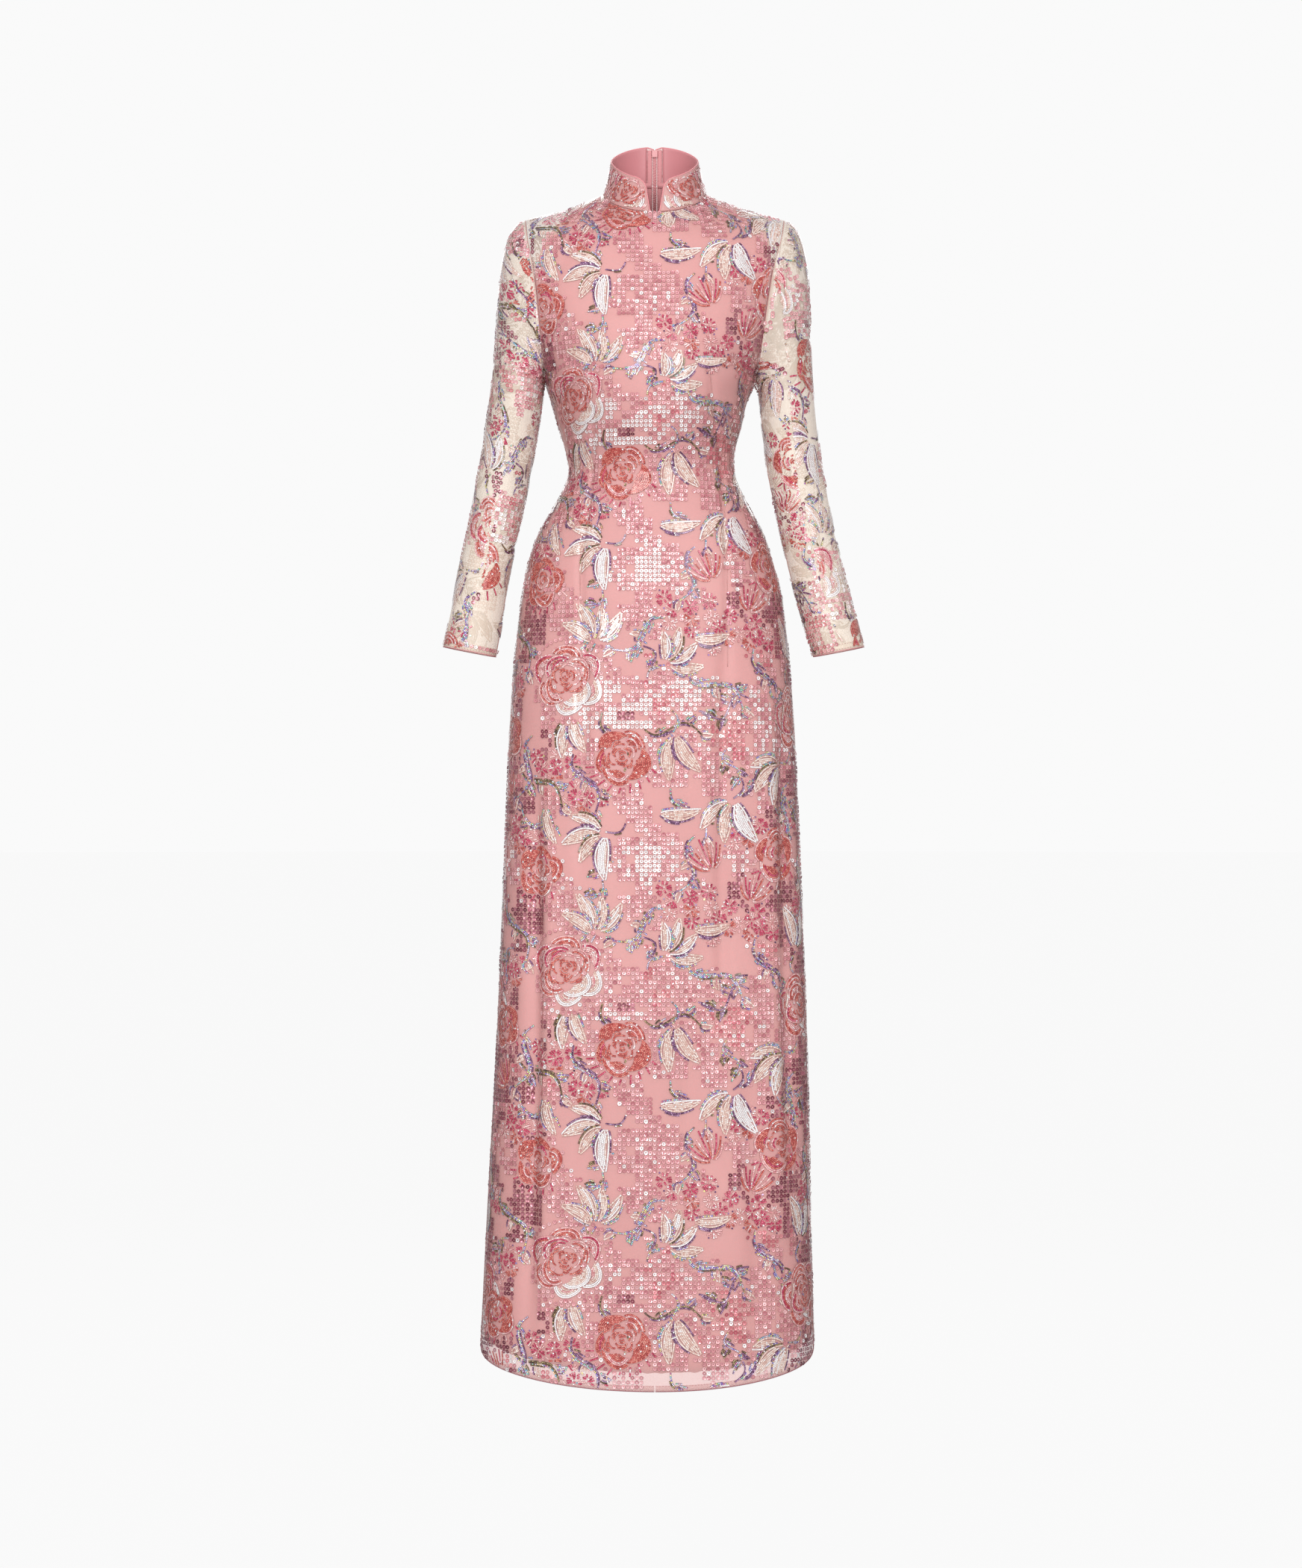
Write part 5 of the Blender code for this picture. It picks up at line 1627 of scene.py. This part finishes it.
def sew_on(panel, surface, repeat, picks, stations, shares):
    """Lays the pieces of the repeat on a surface, each a little tilted."""
    random = np.random.default_rng(len(panel) * 7 + len(picks))
    points, normal, _, down = sampled(surface, stations, shares)
    across = np.cross(down, normal)
    tilt = random.normal(0.0, TILT, (len(picks), 2))
    out = unit(normal + tilt[:, :1] * across + tilt[:, 1:] * down)
    across = unit(across - (across * out).sum(-1)[:, None] * out)
    down = np.cross(out, across)
    spin = random.uniform(0.0, TURN, len(picks))[:, None]
    across, down = (np.cos(spin) * across + np.sin(spin) * down,
                    np.cos(spin) * down - np.sin(spin) * across)
    # painted glare: which rings are white depends on their height on the front
    kind = painted_glare_by_level(repeat["kind"][picks], points, random)
    size = repeat["size"][picks] * random.uniform(0.94, 1.04, len(picks))
    places = points + (SEQUIN_LIFT + 0.10 * size)[:, None] * normal
    ring = kind < len(RING_KINDS)
    ring_shape, bead_shape = piece_shapes()
    for label, chosen, shape, kinds, first in (
            ("rings", ring, ring_shape, RING_KINDS, 0),
            ("beads", ~ring, bead_shape, BEAD_KINDS, len(RING_KINDS))):
        if chosen.any():
            ride(sewn_mesh(f"{label}_{panel}", shape, places[chosen],
                           [f[chosen] for f in (across, down, out)], size[chosen],
                           kind[chosen] - first, list(kinds.values())), "net")


def lay(panel, surface, repeat, part, picks, copies, stations, shares, own):
    """Lays the pieces of the repeat, part 0, or its stitched rows, part 1."""
    if part == 0:
        sew_on(panel, surface, repeat[0], picks, stations, shares)
    else:
        string_on(panel, surface, repeat[1], picks, copies, stations, shares, own)


def embroider_body(bodies, repeat):
    """Sequins and rows on the front in one run, and on each half of the back."""
    level = station_at(bodies["left", True], FRONT_ROSE_LEVEL)
    for front, x_shift, y_shift in ((True, 0.0, level),
                                    (False, BACK_SHIFT[0], level + BACK_SHIFT[1])):
        bottom = station_at(bodies["left", front], NET_HEM_CENTRE)
        for part in (0, 1):
            x, y, picks, copies = tiled(repeat[part], (-HALF_WIDEST, HALF_WIDEST),
                                        (0.0, bottom), x_shift, y_shift)
            for side, sign in (("left", 1.0), ("right", -1.0)):
                body = bodies[side, front]
                own = sign * x > (0.0 if front else ZIP_MARGIN)
                own |= front & (side == "left") & (x == 0.0)
                near = own | (bool(part) & front & (sign * x > -ROW_OVERLAP))
                px, py = np.maximum(sign * x, 0.0)[near], y[near]
                share = px / row_length(body, py)
                hem = hem_stations(body, NET_HEM_CENTRE, np.clip(share, 0.0, 1.0),
                                   EDGE_MARGIN)
                margin = EDGE_MARGIN / row_length(body, py)
                keep = (share < 1.0 - margin) & (py > EDGE_MARGIN) & (py < hem)
                lay(f"{'front' if front else 'back'}_{side}", body, repeat, part,
                    picks[near][keep], copies[near][keep], py[keep], share[keep],
                    own[near][keep])


def risen_station(surface, rise, shares):
    """The station this far above the cuff, measured along the cloth at that share."""
    steps = np.linalg.norm(np.diff(surface["points"], axis=0), axis=2)
    above = np.concatenate([np.cumsum(steps[::-1], axis=0)[::-1],
                            np.zeros((1, steps.shape[1]))])
    column = np.round((shares % 1.0) * (steps.shape[1] - 1)).astype(int)
    found = np.full(len(rise), -1.0)
    for i in np.unique(column):
        here = column == i
        found[here] = np.interp(rise[here], above[::-1, i], surface["at"][::-1],
                                right=-1.0)
    return found


def embroider_sleeves(sleeves, repeat):
    """Rows and the motifs' sequins on the sleeves, measured up from the cuffs."""
    for side, x_shift, y_shift in (("left", 0.09, 0.30), ("right", 0.03, 0.20)):
        surface = sleeves[side]
        longest = surface["lengths"].max()
        for part in (0, 1):
            x, y, picks, copies = tiled(repeat[part], (0.0, longest), (0.0, SLEEVE_TALLEST),
                                        x_shift, y_shift)
            rise = SLEEVE_TALLEST - y
            share = x / longest
            for _ in range(2):
                turned = ((share + 0.25 + 0.5) % 1.0 if side == "left"
                          else (0.75 - share) % 1.0)
                stations = risen_station(surface, rise, turned)
                share = x / row_length(surface, np.maximum(stations, 0.0))
            keep = ((share < 0.998) & (share > 0.002) & (stations > EDGE_MARGIN)
                    & (rise > EDGE_MARGIN))
            if part == 0:
                keep &= repeat[0]["motif"][picks]
            lay(f"sleeve_{side}", surface, repeat, part, picks[keep], copies[keep],
                stations[keep], turned[keep], keep[keep])


def embroider_collar(collars, repeat):
    """Sequins and rows on both halves of the collar."""
    for side, x_shift, y_shift in (("left", 0.250, -0.238), ("right", 0.262, -0.236)):
        collar = collars[side]
        for part in (0, 1):
            x, y, picks, copies = tiled(repeat[part], (0.006, 0.19),
                                        (0.0025, COLLAR_TALL - 0.0025), x_shift, y_shift)
            down = y / COLLAR_TALL
            length = row_length(collar, down)
            last = np.array([collar_front_edge(1.0 - d) for d in down])
            keep = x < length - last - EDGE_MARGIN
            lay(f"collar_{side}", collar, repeat, part, picks[keep], copies[keep],
                down[keep], (x / length)[keep], keep[keep])


# ---------------------------------------------------------------- seams and stitches

STITCH_LONG, STITCH_GAP, STITCH = 0.0026, 0.0010, 0.00028
STITCH_POINTS = np.array([[0, 0, 1], [0, 0, -1], [1, 0, 0], [0, 1, 0], [-1, 0, 0],
                          [0, -1, 0]], float)
STITCH_FACES = np.array([[0, 2, 3], [0, 3, 4], [0, 4, 5], [0, 5, 2], [1, 3, 2], [1, 4, 3],
                         [1, 5, 4], [1, 2, 5]])


def stitches(name, line, normals, lift):
    """A row of stitches along a line on the cloth."""
    along = running(np.linalg.norm(np.diff(line, axis=0), axis=1))
    middles = np.arange(0.5 * STITCH_LONG, along[-1], STITCH_LONG + STITCH_GAP)
    centre = between(middles, along, line)
    out = unit(between(middles, along, normals))
    direction = unit(between(middles, along, np.gradient(line, axis=0)))
    points, blocks = copies_of(
        STITCH_POINTS, [STITCH_FACES], centre + lift * out,
        (np.cross(direction, out), out, direction), (STITCH, STITCH, 0.5 * STITCH_LONG))
    ride(mesh_object(name, points, blocks, [THREAD]), "net")


def stitches_on(name, surface, stations, shares, lift=0.0001):
    """A row of stitches along a line given by its places on a surface."""
    stitches(name, *beneath(surface, stations, shares, 0.0), lift)


# Cords along the seams: how deep they lie, their radius, their cloth and their slot.
CORDS = {
    "dart_seam": (-0.0001, 0.0004, EDGE_CLOTH, "net"),
    "side_seam": (0.0004, 0.0005, EDGE_CLOTH, "net"),
    "hem_edge": (0.0003, 0.0006, HEM_AND_SHADOW_CLOTH, "net"),
    "centre_back_seam": (0.0006, 0.0007, EDGE_CLOTH, "net"),
    "armhole_seam": (0.0006, 0.0005, EDGE_CLOTH, "net"),
    "sleeve_seam": (0.0009, 0.00055, EDGE_CLOTH, "net"),
    "cuff_edge": (0.0005, 0.0006, TAPE_CLOTH, "net"),
    "collar_edge": (0.0009, 0.0008, LINING_CLOTH, "lining"),
    "neck_seam": (0.0001, 0.0007, EDGE_CLOTH, "net"),
}
# Strips along the edges: how deep they lie, half their width, how thick they are, whether
# they cross a hem, their cloth and their slot.
STRIPS = {
    "slit_edge": (0.0011, 0.0021, 0.0003, False, HEM_AND_SHADOW_CLOTH, "net"),
    "hem_turning": (NET_IN + NET + 0.0004, 0.0036, 0.0003, True, BODY_NET, "net"),
    "lining_hem": (LINING_DEPTH - 0.0003, 0.0011, 0.0003, True, HEM_AND_SHADOW_CLOTH, "lining"),
    "halter_edge": (LINING_DEPTH - 0.0003, 0.0008, 0.0003, False, TAPE_CLOTH, "lining"),
    "cuff_turning": (NET_IN + NET + 0.0004, 0.0048, 0.0003, True, NET_CLOTH, "net"),
    "neck_binding": (0.0026, 0.0034, 0.0004, True, TAPE_CLOTH, "lining"),
}


def cord_on(kind, where, surface, stations, shares):
    """A thin cord laid along a line of the cloth."""
    depth, radius, cloth, slot = CORDS[kind]
    line, _ = beneath(surface, stations, shares, depth)
    ride(cord_along(kind + where, line, radius, cloth), slot)


def strip_on(kind, where, surface, stations, shares):
    """A narrow strip laid along a line of the cloth."""
    depth, half, thick, upright, cloth, slot = STRIPS[kind]
    points, normals, across, down = sampled(surface, stations, shares)
    ride(ribbon(kind + where, points - depth * normals, normals,
                down if upright else across, half, thick, cloth), slot)


def fine_rows(start, end):
    """Places along a seam, 4 mm apart."""
    return np.linspace(start, end, max(8, int(abs(end - start) / 0.004)))


def dart_seam(where, body, dart):
    """The stitched line down a dart."""
    heights = fine_rows(dart[0, 1], dart[-1, 1])
    x = np.interp(-heights, -dart[:, 1], dart[:, 0])
    stations = np.array([station_at(body, z) for z in heights])
    columns = [np.interp(px, np.abs(body["points"][int(r), :, 0]),
                         np.linspace(0.0, 1.0, body["points"].shape[1]))
               for px, r in zip(x, stations / body["at"][-1] * (DENSE_ROWS - 1))]
    cord_on("dart_seam", where, body, stations, np.array(columns))


def slit_seams(where, body, slit, hem):
    """The turned edge of a side slit and its stitches."""
    stations = fine_rows(slit, hem)
    length = row_length(body, stations)
    strip_on("slit_edge", where, body, stations, 1.0 - 0.0022 / length)
    stitches_on(f"slit_stitches{where}", body, stations, 1.0 - 0.0040 / length)


def hem_seams(where, body):
    """The turned hem of the net, and the rippled hem of the lining."""
    shares = np.linspace(0.004 if body["front"] else 0.012, 0.985, 110)

    def up(height, bottom=NET_HEM_CENTRE):
        return hem_stations(body, bottom, shares, height)

    for row, height in enumerate((0.0016, 0.0068)):
        stitches_on(f"hem_stitches{where}_{row}", body, up(height), shares)
    strip_on("hem_turning", where, body, up(0.0040), shares)
    cord_on("hem_edge", where, body, up(0.0005), shares)
    # the lining's hem strip is dark for its turned edge and for a painted shadow line along
    # it
    ripple = 0.0016 * np.sin(60.0 * shares) * np.sin(23.0 * shares)
    strip_on("lining_hem", where, body,
             up(0.0012, NET_HEM_CENTRE + LINING_HEM_UP) + ripple, shares)


def halter_edge(where, body):
    """The bound edge of the lining, from the neck to below the armhole."""
    stations = np.linspace(0.004, station_at(body, LINING_MEETS_ARMHOLE, 1.0) + 0.06, 60)
    shares = lining_share(body, stations) - 0.0008 / row_length(body, stations)
    strip_on("halter_edge", where, body, stations, shares)


def body_seams(bodies):
    """Side seams, slits, darts, hems, the lining's edges and the centre back seam."""
    for (side, front), body in bodies.items():
        where = f"_{'front' if front else 'back'}_{side}"
        slit = station_at(body, SLIT_TOP, 1.0)
        if front:
            stations = fine_rows(body["under"] + 0.002, slit)
            cord_on("side_seam", f"_{side}", body, stations, 1.0)
        slit_seams(where, body, slit, station_at(body, NET_HEM_CENTRE) - NET_HEM_RISE)
        dart_seam(where, body, np.array(DARTS[side, front]))
        hem_seams(where, body)
        halter_edge(where, body)
    body = bodies["left", False]
    stations = fine_rows(station_at(body, ZIP_BOTTOM), station_at(body, NET_HEM_CENTRE))
    cord_on("centre_back_seam", "", body, stations, 0.0)


def sleeve_seams(sleeves):
    """The armhole seams, the sleeve seams and the turned cuffs."""
    shares = np.linspace(0.0, 1.0, 220)
    for side, surface in sleeves.items():
        bottom, where = surface["at"][-1], f"_{side}"
        cord_on("armhole_seam", where, surface, 0.0006, shares)
        cord_on("sleeve_seam", where, surface, fine_rows(0.012, bottom - 0.002), 0.5)
        for row, up in enumerate((0.0024, 0.0082)):
            stitches_on(f"cuff_stitches{where}_{row}", surface, bottom - up, shares, 0.0002)
        strip_on("cuff_turning", where, surface, bottom - 0.0052, shares)
        cord_on("cuff_edge", where, surface, bottom - 0.0004, shares)


def collar_seams(collars):
    """The neck seam and its binding, and the turned edge of each half of the collar."""
    for side, collar in collars.items():
        places = ([(0.0, share) for share in np.linspace(0.0, 1.0, 90)]
                  + [(down, 1.0) for down in np.linspace(0.03, 1.0, 30)])
        cut = np.array([collar_place(collar, *place, ZIP_HALF_GAP) for place in places]).T
        cord_on("collar_edge", f"_{side}", collar, *cut)
        cut = np.array([collar_place(collar, 0.995, share, 0.004)
                        for share in np.linspace(0.0, 0.995, 120)]).T
        cord_on("neck_seam", f"_{side}", collar, *cut)
        strip_on("neck_binding", f"_{side}", collar, *cut)


# ---------------------------------------------------------------- zip

def zip_line(bodies, collars, side, across, depth, top=TAPE_TOP, step=0.0030):
    """Points beside the centre back, down the collar and then down the back."""
    collar, back = collars[side], bodies[side, False]
    downs = np.arange(top, 0.985, step / COLLAR_TALL)
    stations = np.arange(0.0010, station_at(back, ZIP_BOTTOM), step)
    parts = [beneath(surface, places, across / row_length(surface, places), depth)
             for surface, places in ((collar, downs), (back, stations))]
    return tuple(np.concatenate(pair) for pair in zip(*parts))


def zip_tapes(bodies, collars):
    """The two tapes of the zip, each with two rows of stitches."""
    for side in SIDES:
        columns = [zip_line(bodies, collars, side, across, TAPE_DEPTH)
                   for across in np.linspace(*TAPE_ACROSS, 4)]
        grid = [np.stack(layers, axis=1) for layers in zip(*columns)]
        ride(shell(f"tape_{side}", *grid, TAPE, TAPE_CLOTH), "zip_tape",
             f"zip_tape_{side}")
        for name, across in (("inner", TAPE_ACROSS[0] + 0.0012),
                             ("outer", TAPE_ACROSS[1] - 0.0008)):
            line, normals = zip_line(bodies, collars, side, across, TAPE_DEPTH + TAPE)
            stitches(f"tape_stitches_{side}_{name}", line, -normals, 0.0002)


def coil_tooth():
    """One turn of the coil: a rounded bar, 1 wide, 1 long and 1 thick."""
    points, faces = [], []
    for x, swell in ((-1.0, 0.55), (-0.7, 1.0), (0.7, 1.0), (1.0, 0.55)):
        for a in range(6):
            angle = TURN * a / 6
            points.append((x, swell * math.cos(angle), swell * math.sin(angle)))
    for ring in range(3):
        for a in range(6):
            b = (a + 1) % 6
            faces.append([ring * 6 + a, ring * 6 + 6 + a, ring * 6 + 6 + b, ring * 6 + b])
    caps = [list(range(6)), [18 + a for a in reversed(range(6))]]
    return np.array(points), np.array(faces), np.array(caps)


def zip_coil(bodies, collars):
    """Two rows of teeth that interlock along the centre line."""
    line, normals = zip_line(bodies, collars, "left", 0.0, COIL_DEPTH, TAPE_TOP + 0.05,
                             TOOTH_PITCH)
    down = unit(np.gradient(line, axis=0))
    across = np.cross(normals, down)
    points, faces, caps = coil_tooth()
    sides = np.where(np.arange(len(line)) % 2 == 0, 1.0, -1.0)[:, None]
    centre = line + TOOTH_SHIFT * sides * across
    world, blocks = copies_of(points, [faces, caps], centre, (across, down, normals),
                              (COIL_HALF - TOOTH_SHIFT, TOOTH_LONG, TOOTH_THICK))
    ride(ribbon("coil_core", line + 0.0003 * normals, normals, across,
                COIL_HALF - 0.0002, 0.0004, COIL_NYLON), "zip_coil")
    ride(mesh_object("coil_teeth", world, blocks, [COIL_NYLON]), "zip_coil", "zip_coil")


def zip_hardware(nodes):
    """The slider and its pull tab keep their solids, with a painted finish."""
    for name in ("zip_slider", "zip_pull_tab"):
        nodes[name].data.materials.clear()
        nodes[name].data.materials.append(ZIP_PAINT)


# ---------------------------------------------------------------- stage

CAMERA_AT = (-0.0046, -5.0, -0.723)
VIEW_TALL = 1.932       # height of the view at the middle of the tunic
FLOOR = -1.80
FLOOR_RINGS = (0.0, 1.0, 3.0, 8.0, 20.0, 60.0)
# Each light's place, its width and height, its power and the point it faces.
LIGHTS = {
    "key": ((-1.0, -4.2, 0.6), (1.2, 2.0), 114.0, (0.0, 0.0, -0.50)),
    "fill": ((1.6, -4.0, 0.3), (1.2, 2.6), 62.0, (0.0, 0.0, -0.6)),
    "back": ((0.0, 3.6, 1.4), (3.0, 2.2), 62.0, (0.0, 0.0, -0.6)),
    "low": ((0.0, -3.6, -1.6), (3.2, 0.8), 5.0, (0.0, 0.0, -0.9)),
}


def set_scene(name, data, place):
    """Adds a light or a camera at its place."""
    thing = bpy.data.objects.new(name, data)
    bpy.context.scene.collection.objects.link(thing)
    thing.location = place
    return thing


def seen_as(tree, elsewhere, seen, socket):
    """One colour for the camera, and another for the light it throws on the cloth."""
    rays = tree.nodes.new("ShaderNodeLightPath")
    tree.links.new(mixed_colour(tree, rays.outputs["Is Camera Ray"], (*elsewhere, 1.0),
                                (*seen, 1.0)), socket)


def floor():
    """A pale floor without an end."""
    angle = np.linspace(0.0, TURN, 65)
    reach = np.array(FLOOR_RINGS)[:, None]
    points = np.stack([reach * np.cos(angle), reach * np.sin(angle),
                       FLOOR + 0.0 * reach * angle], axis=-1)
    paper, tree, shader = new_material("paper", Roughness=1.0, Specular_IOR_Level=0.0,
                                       Emission_Strength=1.0)
    grain = tree.nodes.new("ShaderNodeTexNoise")
    grain.inputs["Scale"].default_value = 3.0
    tree.links.new(mixed_colour(tree, grain.outputs[0], (0.02, 0.02, 0.02, 1.0),
                                (0.03, 0.03, 0.03, 1.0)), shader.inputs["Base Color"])
    seen_as(tree, (0.30, 0.29, 0.29), (0.93, 0.93, 0.93), shader.inputs["Emission Color"])
    cells = grid_cells(len(reach), len(angle))
    mesh_object("floor", points.reshape(-1, 3), [cells], [paper])


def stage():
    """The floor, the pale surroundings, the lights and the camera."""
    floor()
    world = bpy.data.worlds.new("studio")
    bpy.context.scene.world = world
    world.use_nodes = True
    tree = world.node_tree
    seen_as(tree, (0.54, 0.53, 0.525), (0.955, 0.955, 0.955),
            tree.nodes["Background"].inputs["Color"])

    for name, (place, size, power, look) in LIGHTS.items():
        light = bpy.data.lights.new(name, "AREA")
        light.shape = "RECTANGLE"
        light.size, light.size_y = size
        light.energy = power
        toward = Vector(look) - Vector(place)
        lamp = set_scene(name, light, place)
        lamp.rotation_euler = toward.to_track_quat("-Z", "Y").to_euler()

    camera = bpy.data.cameras.new("camera")
    camera.sensor_fit = "VERTICAL"
    camera.sensor_height = 36.0
    camera.lens = camera.sensor_height * -CAMERA_AT[1] / VIEW_TALL
    holder = set_scene("camera", camera, CAMERA_AT)
    holder.rotation_euler = (math.pi / 2.0, 0.0, 0.0)
    bpy.context.scene.camera = holder
    bpy.context.scene.view_settings.view_transform = "Standard"


# ---------------------------------------------------------------- the tunic


stage()
bodies = {(side, front): body_surface(side, front)
          for side in SIDES for front in (True, False)}
sleeves = {side: sleeve_surface(bodies, side) for side in SIDES}
collars = {side: collar_surface(side) for side in SIDES}

cloths = {**body_cloth(bodies), **sleeve_cloth(sleeves), **collar_cloth(collars)}
body_seams(bodies)
sleeve_seams(sleeves)
collar_seams(collars)
zip_tapes(bodies, collars)
zip_coil(bodies, collars)
zip_hardware(frame["nodes"])

repeat = embroidered_repeat()
embroider_body(bodies, repeat)
embroider_sleeves(sleeves, repeat)
embroider_collar(collars, repeat)
